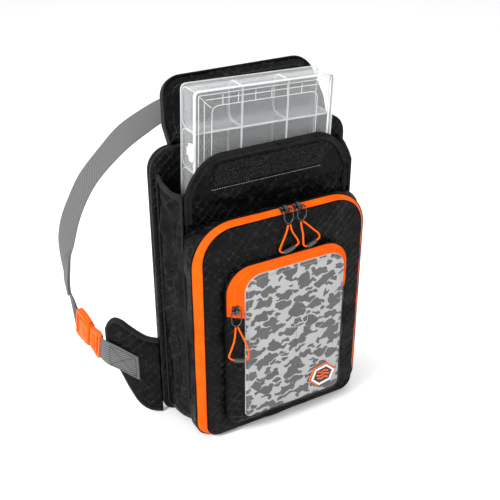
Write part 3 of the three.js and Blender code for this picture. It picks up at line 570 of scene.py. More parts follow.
# Named sizes in metres, as in the part
REAR = 0.048
BACK_FRONT = 0.0366
WALL_BACK = -0.002
WALL_FRONT = -0.006
BAND_BACK = -0.0336
BAND_FRONT = -0.0436
SIDE_BACK = -0.0482
SIDE_FRONT = -0.0528
SMALL_BACK = -0.0531
SMALL_FRONT = -0.0591
PRINT_BACK = -0.0594
PRINT_FACE = -0.0628

back_outline = rounded(-0.135, 0.135, 0.0, 0.376, 0.027, 0.018)
pocket_seam = rounded(-0.117, 0.117, 0.001, 0.292, 0.015, 0.015, 360)
band_outline = rounded(-0.121, 0.121, 0.001, 0.304, 0.052, 0.024, 360)
panel_outline = rounded(-0.1105, 0.1105, 0.005, 0.299, 0.040, 0.017, 360)
small_outline = rounded(-0.087, 0.085, 0.020, 0.250, 0.033, 0.016, 360)
print_outline = rounded(-0.064, 0.076, 0.031, 0.238, 0.022, 0.008, 360)


# Pull cords in millimetres: down from the wire, straight through the grip and back up
CORDS = [
    {
        "down": [(-1.5, -50.8, 288), (-3.4, -51.4, 281), (-7.4, -51.6, 271), (-11, -51.6, 263),
                 (-12.8, -51.6, 257)],
        "grip": [(-7, -51.6, 252.9), (8, -51.6, 256.9)],
        "up": [(13.4, -51.6, 260.4), (12.2, -51.6, 265), (8, -51.6, 272), (4, -51.5, 279),
               (1.5, -50.8, 288)],
    },
    {
        "down": [(16.5, -50.8, 288), (17, -51.8, 281), (17.6, -54.6, 272), (17.6, -55.4, 264),
                 (19, -55.2, 257.6)],
        "grip": [(25, -53.6, 254.2), (38, -52, 257.4)],
        "up": [(43.4, -51.6, 260.8), (41.6, -51.6, 266.4), (35, -51.6, 273), (27.6, -51.6, 280.4),
               (19.6, -50.8, 288)],
    },
    {
        "down": [(-78.1, -60.5, 174.2), (-79.4, -61.8, 166), (-82.6, -64, 156), (-87.4, -65, 145.6),
                 (-89.8, -65, 138)],
        "grip": [(-83.4, -65, 131.2), (-69.6, -65, 125.8)],
        "up": [(-63.4, -65, 126.4), (-62.6, -65, 132.6), (-64.6, -65, 144), (-69.4, -63.6, 158),
               (-75.1, -60.5, 174.2)],
    },
]
CORD_RADIUS = 0.0011
GRIP_BOW = np.array([0, -0.0004, 0])
# Share of the grip's length and its radius there
GRIP_ROWS = [
    (-0.02, 0.0013), (-0.01, 0.0019), (0.03, 0.0023), (0.1, 0.0026), (0.3, 0.0028), (0.5, 0.00285),
    (0.7, 0.0028), (0.9, 0.0026), (0.97, 0.0023), (1.01, 0.0019), (1.02, 0.0013),
]


def make_cord(number, points):
    start, end = (np.array(p, float) for p in points["grip"])
    route = [*points["down"], start, (start + end) / 2, end, *points["up"]]
    line = smooth_path(np.array([tuple(p) for p in route]) * MM, 90)
    data = bpy.data.curves.new(f"pull_cord_line_{number}", "CURVE")
    data.dimensions = "3D"
    data.bevel_depth = CORD_RADIUS
    data.bevel_resolution = 3
    data.use_fill_caps = True
    spline = data.splines.new("POLY")
    spline.points.add(len(line) - 1)
    for point, at in zip(spline.points, line):
        point.co = (*at, 1)
    data.materials.append(ORANGE_CORD)
    cord = bpy.data.objects.new(f"orange_pull_cord_{number}", data)
    bpy.context.scene.collection.objects.link(cord)
    along = (end - start) / np.linalg.norm(end - start)
    reach = np.linalg.norm(end - start)
    aside = np.cross(along, [0, 1, 0])
    aside /= np.linalg.norm(aside)
    other = np.cross(along, aside)
    rings = []
    for share, radius in GRIP_ROWS:
        centre = (start + along * reach * share) * MM + GRIP_BOW * math.sin(math.pi * min(max(share, 0), 1))
        rings.append([centre + aside * x + other * y for x, y in circle(radius, 14)])
    grip = skin(f"smoky_grip_{number}", rings, GRIP)
    on_bag(grip, "grip_rubber", f"pull_grip_{number}")
    on_bag(cord, "orange_cord", f"pull_cord_{number}")


make_camera()
for count, cord_points in enumerate(CORDS):
    make_cord(count + 1, cord_points)


# Strips of cloth between two outlines
def between(flat_a, y_a, flat_b, y_b, share, bulge=0.0):
    flat = flat_a * (1 - share) + flat_b * share
    return lift(inset(flat, -bulge * math.sin(math.pi * share)), y_a + (y_b - y_a) * share)


STRIP_REACH = 0.6   # how far a strip's inner edge runs past its depth, by its thickness


def strip(name, flat_a, y_a, flat_b, y_b, thickness, material, bulge=0.0, span=None, rows=7):
    """A cloth strip between two outlines, all round or over a span of their points."""
    shares = np.linspace(0, 1, rows)
    outer = [between(flat_a, y_a, flat_b, y_b, s, bulge) for s in shares]
    in_a, in_b = inset(flat_a, thickness), inset(flat_b, thickness)
    inner = [between(in_a, y_a, in_b, y_b + STRIP_REACH * thickness, s, bulge) for s in reversed(shares)]
    rings = np.asarray(outer + inner)
    if span is None:
        return skin(name, rings, material, ends="loop")
    return skin(name, rings[:, span], material, ends="loop", closed=False)


def along_strip(flat_a, y_a, flat_b, y_b, share, raised, bulge=0.0, span=None):
    """A line on a strip's outer face, and the way across the strip."""
    line = between(flat_a, y_a, flat_b, y_b, share, bulge)
    across = between(flat_a, y_a, flat_b, y_b, min(share + 0.05, 1.0), bulge)
    across = across - between(flat_a, y_a, flat_b, y_b, max(share - 0.05, 0.0), bulge)
    across /= np.linalg.norm(across, axis=1, keepdims=True)
    tangent = np.roll(line, -1, 0) - np.roll(line, 1, 0)
    tangent /= np.linalg.norm(tangent, axis=1, keepdims=True)
    out = np.cross(across, tangent)
    middle = line.mean(0)
    if np.sum((line - middle) * out) < 0:
        out = -out
    line = line + out * raised
    if span is not None:
        return line[span], across[span], out[span]
    return line, across, out


def stitches(name, line, out, material, pitch=0.0032, length=0.0021, radius=0.00032):
    """Short raised threads along a line, each with tapered ends."""
    line = np.asarray(line, float)
    steps = np.linalg.norm(np.diff(line, axis=0), axis=1)
    at = np.concatenate([[0], np.cumsum(steps)])
    verts, faces = [], []
    for start in np.arange(pitch * 0.5, at[-1] - length, pitch):
        ends = [np.array([np.interp(d, at, line[:, k]) for k in range(3)]) for d in (start, start + length)]
        way = np.array([np.interp(start, at, out[:, k]) for k in range(3)])
        run = (ends[1] - ends[0]) / max(np.linalg.norm(ends[1] - ends[0]), 1e-9)
        aside = np.cross(run, way)
        aside /= max(np.linalg.norm(aside), 1e-9)
        base = len(verts)
        for share, size in ((0.0, 0.35), (0.2, 1.0), (0.8, 1.0), (1.0, 0.35)):
            centre = ends[0] * (1 - share) + ends[1] * share
            verts += [centre + (aside * x + way * z) * size for x, z in circle(radius, 6)]
        for row in range(3):
            for j in range(6):
                a, b = base + row * 6 + j, base + row * 6 + (j + 1) % 6
                faces.append([a, a + 6, b + 6, b])
        faces.append([base + j for j in range(6)])
        faces.append([base + 18 + j for j in range(6)])
    uvs = [(verts[v][0], verts[v][2]) for face in faces for v in face]
    return mesh_piece(name, verts, faces, uvs, material)


# Padded back panel with its edge tape
TRAY_LANE = 0.104   # half the width in which the tray slides
back = pad("padded_back_panel", back_outline, REAR, BACK_FRONT, 0.004, RIPSTOP, crown_front=-0.0007,
           rings=22)


def back_room(co):
    """Full folds round the edge, fewer on the faces, and nearly none where the tray slides."""
    if co.y > REAR - 0.001:
        return 0.35
    if co.y > BACK_FRONT + 0.002:
        return 1.0
    return 0.06 + 0.29 * min(1.0, max(0.0, (abs(co.x) - TRAY_LANE) / 0.02))


ruffle(back, 0.0016, (0.05, 0.05, 0.07), 3, where=back_room)
on_bag(back, "black_cloth", "back_panel")
for label, depth in (("front", BACK_FRONT + 0.0026), ("rear", REAR - 0.0026)):
    edge = lift(inset(back_outline, 0.0006), depth)
    tape = lens_section(0.0042, 0.0022)
    tape_piece = sweep(f"back_panel_piping_{label}", edge, tape, BINDING, ends="loop")
    on_bag(tape_piece, "binding_tape")
for label, left, right in (("left", -0.112, -0.03), ("right", 0.024, 0.112)):
    flat = rounded(left, right, 0.03, 0.345, 0.018, 0.018, 200)
    mesh_pad = pad(f"back_mesh_pad_{label}", flat, REAR + 0.0012, REAR - 0.001, 0.0011, RIPSTOP,
                   crown_back=0.0016)
    on_bag(mesh_pad, "black_cloth")

# Side and base cloth of the main compartment
GUSSET_FOOT = 0.020
GUSSET_CLOTH = 0.0025
GUSSET_BULGE = 0.003
GUSSET_BACK = (0.128, 0.343)    # half width and top at the back panel
GUSSET_FRONT = (0.117, 0.329)   # the same at the front wall
# Depth, then the shares of the change in width, of the change in height and of the bulge
GUSSET_ROWS = np.array([(0, 0, 0, 0), (0.3, 0.22, 0.45, 0.85), (0.65, 0.58, 0.9, 1), (1, 1, 1, 0)], float)


def cradle(half, top, radius, floor, count=220):
    points = [(-half, top)]
    points += arc(-half + radius, floor + radius, radius, 180, 270)
    points += arc(half - radius, floor + radius, radius, 270, 360)
    points.append((half, top))
    return resample(points, count)


def gusset_row(depth):
    width, top, bulge = (np.interp(depth, GUSSET_ROWS[:, 0], GUSSET_ROWS[:, k]) for k in (1, 2, 3))
    y = BACK_FRONT - GAP + (WALL_FRONT - BACK_FRONT + GAP) * depth
    half = GUSSET_BACK[0] + (GUSSET_FRONT[0] - GUSSET_BACK[0]) * width + GUSSET_BULGE * bulge
    return y, half, GUSSET_BACK[1] + (GUSSET_FRONT[1] - GUSSET_BACK[1]) * top


rows = [gusset_row(d) for d in np.linspace(0, 1, 15)]
outer = [lift(cradle(half, top, GUSSET_FOOT, 0), y) for y, half, top in rows]
inner = [lift(cradle(half - GUSSET_CLOTH, top, GUSSET_FOOT - GUSSET_CLOTH, GUSSET_CLOTH), y)
         for y, half, top in reversed(rows)]
gusset = skin("main_side_cloth", outer + inner, RIPSTOP, ends="loop", closed=False)


def gusset_room(co):
    """Full folds at mid depth and none at the seams or the floor."""
    share = (BACK_FRONT - co.y) / (BACK_FRONT - WALL_FRONT)
    return max(0.0, math.sin(math.pi * share)) * min(1.0, max(0.0, (co.z - 0.004) / 0.03))


def sideways(co):
    return Vector((1.0 if co.x > 0 else -1.0, 0, 0))


ruffle(gusset, 0.009, (0.014, 0.014, 0.05), 5, way=sideways, where=gusset_room)
ruffle(gusset, 0.005, (0.007, 0.008, 0.016), 8, way=sideways, where=gusset_room)
on_bag(gusset, "ripstop_cloth", "main_gusset")
for name, side in (("left", -1), ("right", 1)):
    path = np.array([(side * (half - GUSSET_CLOTH / 2), y, top + 0.001) for y, half, top in rows])
    upright = np.tile([0.0, 0.0, 1.0], (len(path), 1))
    edge = sweep(f"side_top_tape_{name}", path, lens_section(0.008, 0.0046), BINDING, across=upright)
    on_bag(edge, "binding_tape", f"gusset_binding_{name}")


# Front wall with its flap, edge tape and loop strip
WALL_HALF = 0.1142
WALL_FOOT = 0.0028
WALL_CORNER = 0.0172
FLAP_NECK = 0.327
FLAP_HALF = 0.062
FLAP_TOP = 0.376
FLAP_SEAM = 0.3325


def flap_edge(by, steps=26):
    """The flap's outline from its right side over its top to its left side."""
    half = WALL_HALF - by
    top = FLAP_TOP - by
    knots = [(half, FLAP_NECK), (half - 0.008, FLAP_NECK + 0.025), (FLAP_HALF + 0.024, top),
             (FLAP_HALF, top)]
    right = []
    for t in np.linspace(0, 1, steps):
        weights = ((1 - t) ** 3, 3 * t * (1 - t) ** 2, 3 * t * t * (1 - t), t ** 3)
        right.append(tuple(sum(w * k[i] for w, k in zip(weights, knots)) for i in (0, 1)))
    return right + [(-x, z) for x, z in reversed(right)]


wall_side, wall_low = WALL_HALF - WALL_CORNER, WALL_FOOT + WALL_CORNER
wall_outline = [(0, WALL_FOOT), *arc(wall_side, wall_low, WALL_CORNER, -90, 0), *flap_edge(0.001)]
wall_outline += arc(-wall_side, wall_low, WALL_CORNER, 180, 270)
wall_outline = resample(wall_outline, 360, closed=True)
wall = pad("front_wall_and_flap", wall_outline, WALL_BACK, WALL_FRONT, 0.0018, RIPSTOP, rings=26)


def wall_room(co):
    """Folds on the face above the pocket, held down along the flap's seam."""
    if co.z < 0.3 or co.y > -0.004:
        return 0.0
    return 0.12 + 0.88 * min(1.0, abs(co.z - FLAP_SEAM) / 0.012)


ruffle(wall, 0.0026, (0.04, 0.04, 0.02), 11, where=wall_room)
on_bag(wall, "black_cloth", "front_wall")


def flap_line(by, low=0.296):
    """The flap's edge, run on down the wall's two sides."""
    edge = flap_edge(by)
    return resample([(edge[0][0], low), *edge, (edge[-1][0], low)], 260)


flap_path = lift(flap_line(0.0030), (WALL_BACK + WALL_FRONT) / 2 - 0.0002)
flap_tape = sweep("flap_edge_tape", flap_path, lens_section(0.0047, 0.0047, 7), BINDING)
on_bag(flap_tape, "binding_tape")
face = sweep("flap_edge_tape_face", lift(flap_line(0.0042), WALL_FRONT - 0.0004),
             lens_section(0.0011, 0.0075), BINDING)
on_bag(face, "binding_tape", "flap_binding")
seam = lift(resample(flap_edge(0.0068), 260), WALL_FRONT - 0.0011)
on_bag(stitches("flap_tape_stitches", seam, facing(seam, -1), THREAD), "binding_tape")

loop_outline = rounded(-0.074, 0.074, 0.338, 0.364, 0.008, 0.003, 320)
loop = pad("loop_fastener", loop_outline, WALL_FRONT - GAP, WALL_FRONT - 0.0021, 0.0007, FLEECE, rings=16)
ruffle(loop, 0.0005, (0.0016, 0.0016, 0.0016), 14, where=before(WALL_FRONT - 0.0015))
on_bag(loop, "fleece", "loop_strip")
under = lift(np.array([(x, FLAP_SEAM) for x in np.linspace(-0.080, 0.074, 120)]), WALL_FRONT - 0.0007)
on_bag(stitches("flap_seam_stitches", under, facing(under, -1), PALE_EDGE, radius=0.0003), "fleece")
border = lift(resample(inset(loop_outline, -0.0012), 420, closed=True), WALL_FRONT - 0.0004)
on_bag(stitches("loop_fastener_stitches", border, facing(border, -1), THREAD), "fleece")

# Lid, built flat and leaned back on its hinge line
LID_LEAN = math.radians(28)
LID_HINGE = (0.0475, 0.3749)
LID_THICKNESS = 0.011
LID_LENGTH = 0.077
LID_HALF = 0.108
LID_CORNER = 0.027
LID_CORNER_AT = (0.077, 0.050)


def lean(co):
    x, y, z = co
    return Vector((x, LID_HINGE[0] + y * math.cos(LID_LEAN) + z * math.sin(LID_LEAN),
                   LID_HINGE[1] - y * math.sin(LID_LEAN) + z * math.cos(LID_LEAN)))


def lid_edge(by):
    half = LID_HALF - by
    right = [(half, 0.0), (half + 0.0015, LID_LENGTH * 0.3), *arc(*LID_CORNER_AT, LID_CORNER - by, 0, 90)]
    return right + [(-x, z) for x, z in reversed(right)]


lid_outline = resample([(0, 0), *lid_edge(0.0012)], 300, closed=True)
lid = pad("padded_lid", lid_outline, -0.0004, -LID_THICKNESS + 0.0004, 0.0042, RIPSTOP,
          crown_back=0.0012, crown_front=0.0014)
bend(lid, lean)
ruffle(lid, 0.0022, (0.045, 0.045, 0.03), 17)
on_bag(lid, "black_cloth", "lid")
hinge_line = [(x, 0.0442, 0.3758) for x in np.linspace(-0.1075, 0.1075, 40)]
hinge = sweep("lid_hinge_cloth", hinge_line, lens_section(0.0085, 0.0042), RIPSTOP)
on_bag(hinge, "black_cloth")
lid_path = lift(resample(lid_edge(0.0009), 220), -LID_THICKNESS / 2)
lid_tape = sweep("lid_edge_tape", lid_path, lens_section(0.0098, 0.0019), BINDING)
on_bag(bend(lid_tape, lean), "binding_tape", "lid_binding")
for label, depth in (("inner", -LID_THICKNESS + 0.0012), ("outer", -0.0012)):
    line = lift(resample(lid_edge(0.0018), 220), depth)
    on_bag(bend(sweep(f"lid_piping_{label}", line, circle(0.0012), BLACK), lean), "black_cloth")
for label, depth, way in (("inner", -LID_THICKNESS - 0.0008, -1.0), ("outer", 0.0008, 1.0)):
    line = lift(resample(inset(lid_outline, 0.0105), 400, closed=True), depth)
    seam = stitches(f"lid_stitches_{label}", line, facing(line, way), THREAD, radius=0.0004)
    on_bag(bend(seam, lean), "black_cloth")

# Piping down the seams of the main compartment's side cloth
for label, half, top, depth in (
    ("rear", 0.1283, 0.343, BACK_FRONT - 0.0012), ("front", 0.1172, 0.330, WALL_FRONT + 0.0004),
):
    line = lift(cradle(half, top, GUSSET_FOOT, 0.0008, 200), depth)
    on_bag(sweep(f"side_seam_piping_{label}", line, circle(0.0015), BINDING), "binding_tape")

# Front pocket: side cloth, zip band, foot strip and front panel
pocket_side = strip("pocket_side_cloth", pocket_seam, WALL_FRONT - GAP, band_outline, BAND_BACK + GAP,
                    0.0022, RIPSTOP, bulge=0.0012, rows=14)


def pocket_room(co):
    """Full folds at mid depth and none at the seams or the floor."""
    share = (WALL_FRONT - co.y) / (WALL_FRONT - BAND_BACK)
    return max(0.0, math.sin(math.pi * min(1, max(0, share)))) * min(1.0, max(0.0, (co.z - 0.004) / 0.02))


ruffle(pocket_side, 0.005, (0.022, 0.02, 0.03), 21, where=pocket_room)
ruffle(pocket_side, 0.002, (0.009, 0.009, 0.012), 23, where=pocket_room)
on_bag(pocket_side, "ripstop_cloth", "pocket_gusset")
right_end = int(np.argmax((band_outline[:, 0] > 0) & (band_outline[:, 1] >= 0.0255)))
half_way = len(band_outline) // 2
left_end = half_way + int(np.argmax(band_outline[half_way:, 1] <= 0.0012))
band_span = slice(right_end, left_end)
foot_span = list(range(left_end, len(band_outline))) + list(range(0, right_end))
band_slope = (band_outline, BAND_BACK, panel_outline, BAND_FRONT)
band = strip("pocket_orange_band", *band_slope, 0.002, ORANGE, bulge=0.0009, span=band_span, rows=9)
ruffle(band, 0.0008, (0.03, 0.02, 0.03), 25)
on_bag(band, "orange_tape", "pocket_zip_band")
foot = strip("pocket_foot_cloth", *band_slope, 0.002, BLACK, bulge=0.0009, span=foot_span, rows=9)
on_bag(foot, "black_cloth", "pocket_foot_strip")
for label, flat, depth, radius in (
    ("band_rear", band_outline, BAND_BACK + 0.0002, 0.0012),
    ("band_front", panel_outline, BAND_FRONT - 0.0002, 0.0010),
    ("small_rear", small_outline, SMALL_BACK + 0.0002, 0.0009),
):
    on_bag(sweep(f"piping_{label}", lift(flat, depth), circle(radius), BLACK, ends="loop"), "black_cloth")
edge = sweep("print_panel_edging", lift(print_outline, SMALL_FRONT - 0.0002), lens_section(0.0018, 0.0014),
             PALE_EDGE, ends="loop")
on_bag(edge, "print_cloth")
panel = pad("pocket_front_panel", resample(inset(panel_outline, 0.0002), 360, closed=True), BAND_FRONT - GAP,
            BAND_FRONT - 0.0023, 0.0012, RIPSTOP, crown_front=0.0020, rings=24)
ruffle(panel, 0.0026, (0.03, 0.03, 0.022), 27, where=before(BAND_FRONT - 0.002))
on_bag(panel, "ripstop_cloth", "pocket_panel")

# Small pocket: side cloth, orange band above its split, dark strip below and printed panel
side = strip("small_pocket_side_cloth", small_outline, SIDE_BACK, small_outline, SIDE_FRONT, 0.0022, RIPSTOP,
             rows=5)
on_bag(side, "ripstop_cloth", "small_pocket_side")
SPLIT = 0.187       # height at which the orange band ends
SMALL_BULGE = 0.0006
above = small_outline[:, 1] >= SPLIT
split_right = int(np.argmax(above))
split_left = len(above) - int(np.argmax(above[::-1]))
small_span = slice(split_right, split_left)
low_span = list(range(split_left - 1, len(above))) + list(range(0, split_right + 1))
small_slope = (small_outline, SMALL_BACK, print_outline, SMALL_FRONT)
small_band = strip("small_pocket_orange_band", *small_slope, 0.0018, ORANGE, bulge=SMALL_BULGE,
                   span=small_span, rows=11)
on_bag(small_band, "orange_tape", "small_zip_band")
small_low = strip("small_pocket_lower_cloth", *small_slope, 0.0018, RIPSTOP, bulge=SMALL_BULGE,
                  span=low_span, rows=11)
ruffle(small_low, 0.0012, (0.02, 0.02, 0.02), 31)
on_bag(small_low, "ripstop_cloth", "small_foot_strip")
line, across, out = along_strip(*small_slope, 0.5, 0.0003, SMALL_BULGE, small_span)
coil = sweep("small_pocket_zip", line, lens_section(0.0021, 0.0009), ORANGE_CORD, across=across)
on_bag(coil, "orange_tape")
for share in (0.12, 0.3, 0.72):
    line, across, out = along_strip(*small_slope, share, 0.0003, SMALL_BULGE, small_span)
    row = stitches(f"small_band_stitches_{int(share * 100)}", line, out, ORANGE_CORD)
    on_bag(row, "orange_tape")
print_pad = pad("printed_panel", print_outline, PRINT_BACK, PRINT_BACK - 0.0016, 0.0008, PRINT,
                crown_front=0.0018, rings=26)
ruffle(print_pad, 0.0016, (0.035, 0.035, 0.05), 33, where=before(PRINT_BACK - 0.0018))
on_bag(print_pad, "print_cloth", "print_panel")
border = lift(resample(inset(print_outline, 0.0035), 600, closed=True), PRINT_BACK - 0.0022)
on_bag(stitches("print_panel_stitches", border, facing(border, -1), PALE_EDGE), "print_cloth")


# Plain badge
BADGE_AT = (0.049, 0.060)
BADGE_TURN = 12
BADGE_SQUASH = 0.86


def hexagon(radius, count=180):
    corners = [math.radians(60 * i + BADGE_TURN) for i in range(6)]
    points = [(BADGE_AT[0] + radius * math.cos(a), BADGE_AT[1] + radius * BADGE_SQUASH * math.sin(a))
              for a in corners]
    return resample(points, count, closed=True)


for label, radius, near, far, material in (
    ("edge", 0.021, PRINT_FACE - 0.0001, PRINT_FACE - 0.0012, BADGE_ORANGE),
    ("face", 0.0193, PRINT_FACE - 0.0003, PRINT_FACE - 0.0017, BADGE_BLACK),
):
    plate = pad(f"badge_{label}", hexagon(radius), near, far, 0.0004, material, rings=5)
    on_bag(plate, "badge_rubber", *(["badge"] if label == "face" else []))
ring_line = lift(hexagon(0.0166), PRINT_FACE - 0.0018)
badge_ring = sweep("badge_ring", ring_line, lens_section(0.0006, 0.0026), BADGE_WHITE, ends="loop")
on_bag(badge_ring, "badge_rubber")
for i, (low, half) in enumerate(((0.0555, 0.0085), (0.0605, 0.0105), (0.0655, 0.0085))):
    wave = [(BADGE_AT[0] + half * t, low + 0.0011 * math.sin(5 * t)) for t in np.linspace(-1, 1, 25)]
    line = lift(np.array(wave), PRINT_FACE - 0.0019)
    bar = sweep(f"badge_wave_{i}", line, lens_section(0.0006, 0.0018), BADGE_ORANGE)
    on_bag(bar, "badge_rubber")


# Pull wires through the sliders
def loop_path(points, count):
    """Even points round a closed spline through the given ones."""
    wrapped = [*points[-2:], *points, *points[:3]]
    dense = smooth_path(np.array(wrapped, float), 40 * (len(wrapped) - 1) + 1)
    first = np.array(points[0], float)
    near = np.linalg.norm(dense - first, axis=1)
    half = len(dense) // 2
    start = int(np.argmin(near[:half]))
    end = half + int(np.argmin(near[half:]))
    return resample(dense[start:end], count, closed=True)


# In millimetres: a wire that bends over the band's edge, and one that hangs down the side band
OVER_EDGE = [
    (0, 0, 0), (-5.4, -0.4, -0.1), (-6, -7.8, -1.6), (-5.4, -9.8, -11), (0, -10, -15.6),
    (5.4, -9.8, -11), (6, -7.8, -1.6), (5.4, -0.4, -0.1),
]
DOWN_SIDE = [
    (0, 0, 0), (5.4, 0, -0.3), (6, 0.2, -9), (4.8, 0.4, -17), (0, 0.4, -20.4),
    (-4.8, 0.4, -17), (-6, 0.2, -9), (-5.4, 0, -0.3),
]
TOP_SLIDERS = [(0.0, -40.39, 305.08), (18.0, -40.39, 305.08)]
SIDE_SLIDER = np.array([-76.5, -60.0, 196.0])
SIDE_ACROSS = np.array([-0.967, 0.252, 0.0])
SIDE_OUT = np.array([-0.252, -0.967, 0.0])
wires = [[np.array(spot) + np.array(p) for p in OVER_EDGE] for spot in TOP_SLIDERS]
wires.append([SIDE_SLIDER + SIDE_ACROSS * a + SIDE_OUT * o + np.array([0, 0, u]) for a, o, u in DOWN_SIDE])
for index, points in enumerate(wires):
    line = loop_path([p * MM for p in points], 90)
    outwards = line - line.mean(0)
    wire = sweep(f"wire_pull_{index + 1}", line, circle(0.0008, 12), GUNMETAL, ends="loop", across=outwards)
    on_bag(wire, "gunmetal", f"pull_wire_{index + 1}")


# Wing at the lower left, with its edge tape
WING_HEIGHT = 0.145
WING_LENGTH = 0.066
WING_THICKNESS = 0.007
WING_TURN = (math.radians(14), math.radians(50))
WING_SEAM = (0.1353, 0.0415)
# Share of the length, then the lowest and highest point as shares of the height
WING_ROWS = np.array([
    (0, 0.02, 0.78), (0.24, 0.05, 0.82), (0.42, 0.13, 0.88), (0.58, 0.28, 0.94), (0.72, 0.44, 0.99),
    (0.85, 0.58, 1.0), (0.94, 0.69, 0.96), (1.0, 0.79, 0.9),
])


def wing_at(share):
    """The wing's middle line seen from above, and the way that its face looks."""
    start, end = WING_TURN
    radius = WING_LENGTH / (end - start)
    turn = start + (end - start) * share
    seam = WING_SEAM[0] + math.sin(start) * WING_THICKNESS / 2
    x = -seam - radius * (math.sin(turn) - math.sin(start))
    y = WING_SEAM[1] + radius * (math.cos(start) - math.cos(turn))
    return np.array([x, y]), np.array([-math.sin(turn), -math.cos(turn)])


def wing_point(share, height, out):
    at, normal = wing_at(share)
    return np.array([at[0] + normal[0] * out, at[1] + normal[1] * out, height])


wing_rows = smooth_path(WING_ROWS, 44)
rings = []
for share, low, high in wing_rows:
    low, high = low * WING_HEIGHT, high * WING_HEIGHT
    ring = []
    for side_out, heights in ((1, np.linspace(0, 1, 22)), (-1, np.linspace(1, 0, 22))):
        for t in heights:
            fat = (1 - abs(2 * t - 1) ** 6) ** 0.5
            puff = 0.0012 * math.sin(math.pi * t) * math.sin(math.pi * min(1, share))
            out = side_out * (fat * WING_THICKNESS / 2 + puff)
            ring.append(wing_point(share, low + (high - low) * t, out))
    rings.append(ring)
wing = skin("padded_wing", rings, RIPSTOP)
ruffle(wing, 0.0016, (0.025, 0.025, 0.02), 41)
on_bag(wing, "ripstop_cloth", "wing")
edge_points = [(s, low) for s, low, high in wing_rows] + [(s, high) for s, low, high in reversed(wing_rows)]
edge_line = resample([wing_point(s, h * WING_HEIGHT, 0) for s, h in edge_points], 160)
edge_shares = np.clip((-edge_line[:, 0] - 0.1361) / 0.056, 0, 1)
outward = np.array([[*wing_at(share)[1], 0.0] for share in edge_shares])
wing_tape = sweep("wing_edge_tape", edge_line, lens_section(0.0084, 0.0062, 6), BINDING, across=outward)
on_bag(wing_tape, "binding_tape")


# Webbing: flat ribbons whose sections are given by a middle and a way across
def dense_rows(rows, per):
    """The middle line of a ribbon, the way across it and the way that its face looks."""
    middle = spline([r[0] for r in rows], per, 1e-4)
    side = spline([r[1] for r in rows], per, 1e-4)
    side /= np.linalg.norm(side, axis=1, keepdims=True)
    tangent = np.gradient(middle, axis=0)
    tangent /= np.linalg.norm(tangent, axis=1, keepdims=True)
    face = np.cross(tangent, side)
    face /= np.linalg.norm(face, axis=1, keepdims=True)
    return middle, side, face


def ribbon(name, rows, width, thickness, cup=0.0):
    section = lens_section(width, thickness, 4)
    rings = [[m + s * x + f * (y + cup * (2 * x / width) ** 2) for x, y in section]
             for m, s, f in zip(*rows)]
    return skin(name, rings, WEBBING)


BUCKLE_ALONG = np.array([-0.1443, 0.9656, 0.2164])
BUCKLE_ALONG /= np.linalg.norm(BUCKLE_ALONG)
BUCKLE_ACROSS = np.array([0.0, 0.0, 1.0]) - BUCKLE_ALONG * BUCKLE_ALONG[2]
BUCKLE_ACROSS /= np.linalg.norm(BUCKLE_ACROSS)
BUCKLE_FACE = np.cross(BUCKLE_ALONG, BUCKLE_ACROSS)
wing_tip = wing_at(1.0)[0]
TAB_END = np.array([wing_tip[0] - 0.008, wing_tip[1] + 0.009, 0.098])
STRAP_START = np.array([-0.003, 0.0493, 0.318])
STRAP_END = TAB_END + BUCKLE_ALONG * 0.0599
STRAP_WIDTH = 0.038
STRAP_THICKNESS = 0.002
STRAP_CUP = 0.0008
STRAP_TOP = 0.376
# Shares of the way out, behind and up, then the way across the webbing
STRAP_ROWS = [
    (0, 0.01, 0.89, (-1, 0, 0)), (0.005, 0.05, 0.965, (-1, 0, 0.05)), (0.05, 0.22, 1.045, (-1, -0.2, -0.1)),
    (0.155, 0.37, 1.095, (-0.8, -0.5, -0.4)), (0.295, 0.44, 1.11, (-0.5, -0.72, -0.5)),
    (0.43, 0.48, 1.09, (-0.38, -0.76, -0.52)), (0.55, 0.52, 1.045, (-0.2, -0.85, -0.48)),
    (0.665, 0.56, 0.99, (-0.02, -0.92, -0.38)), (0.78, 0.61, 0.905, (0.1, -0.97, -0.14)),
    (0.89, 0.65, 0.81, (0.3, -0.93, 0.1)), (0.965, 0.67, 0.715, (0.32, -0.9, 0.22)),
    (1.02, 0.69, 0.62, (0.3, -0.93, 0.2)), (1.055, 0.72, 0.51, (0.2, -0.96, 0.12)),
    (1.065, 0.76, 0.43, (0.06, -0.95, 0.3)), (1.06, 0.82, 0.345, (-0.04, -0.92, 0.38)),
    (1.05, 0.9, 0.25, (-0.15, -0.88, 0.46)), (1.035, 0.98, 0.165, (-0.19, -0.78, 0.6)),
    (1.018, 1.02, 0.09, (-0.1, -0.55, 0.83)),
]
strap_rows = [(STRAP_START, (-1, 0, 0))]
for out, behind, up, across in STRAP_ROWS:
    at = (STRAP_START[0] + (STRAP_END[0] - STRAP_START[0]) * out,
          STRAP_START[1] + (STRAP_END[1] - STRAP_START[1]) * behind,
          STRAP_END[2] + (STRAP_TOP - STRAP_END[2]) * up)
    strap_rows.append((at, across))
strap_rows += [(STRAP_END + BUCKLE_ALONG * 0.003, BUCKLE_ACROSS), (STRAP_END, BUCKLE_ACROSS)]
strap_lines = dense_rows(strap_rows, 12)
strap = ribbon("sling_strap", strap_lines, STRAP_WIDTH, STRAP_THICKNESS, cup=STRAP_CUP)
on_bag(strap, "grey_webbing", "strap")
total = len(strap_lines[0])
TAIL_FROM = int(total * 0.66)
TAIL_SLANT = 34     # rows over which its end is cut
TAIL_RISE = 10      # rows over which it lifts off the strap
tail_lines = [part[TAIL_FROM:total - 36] for part in strap_lines]


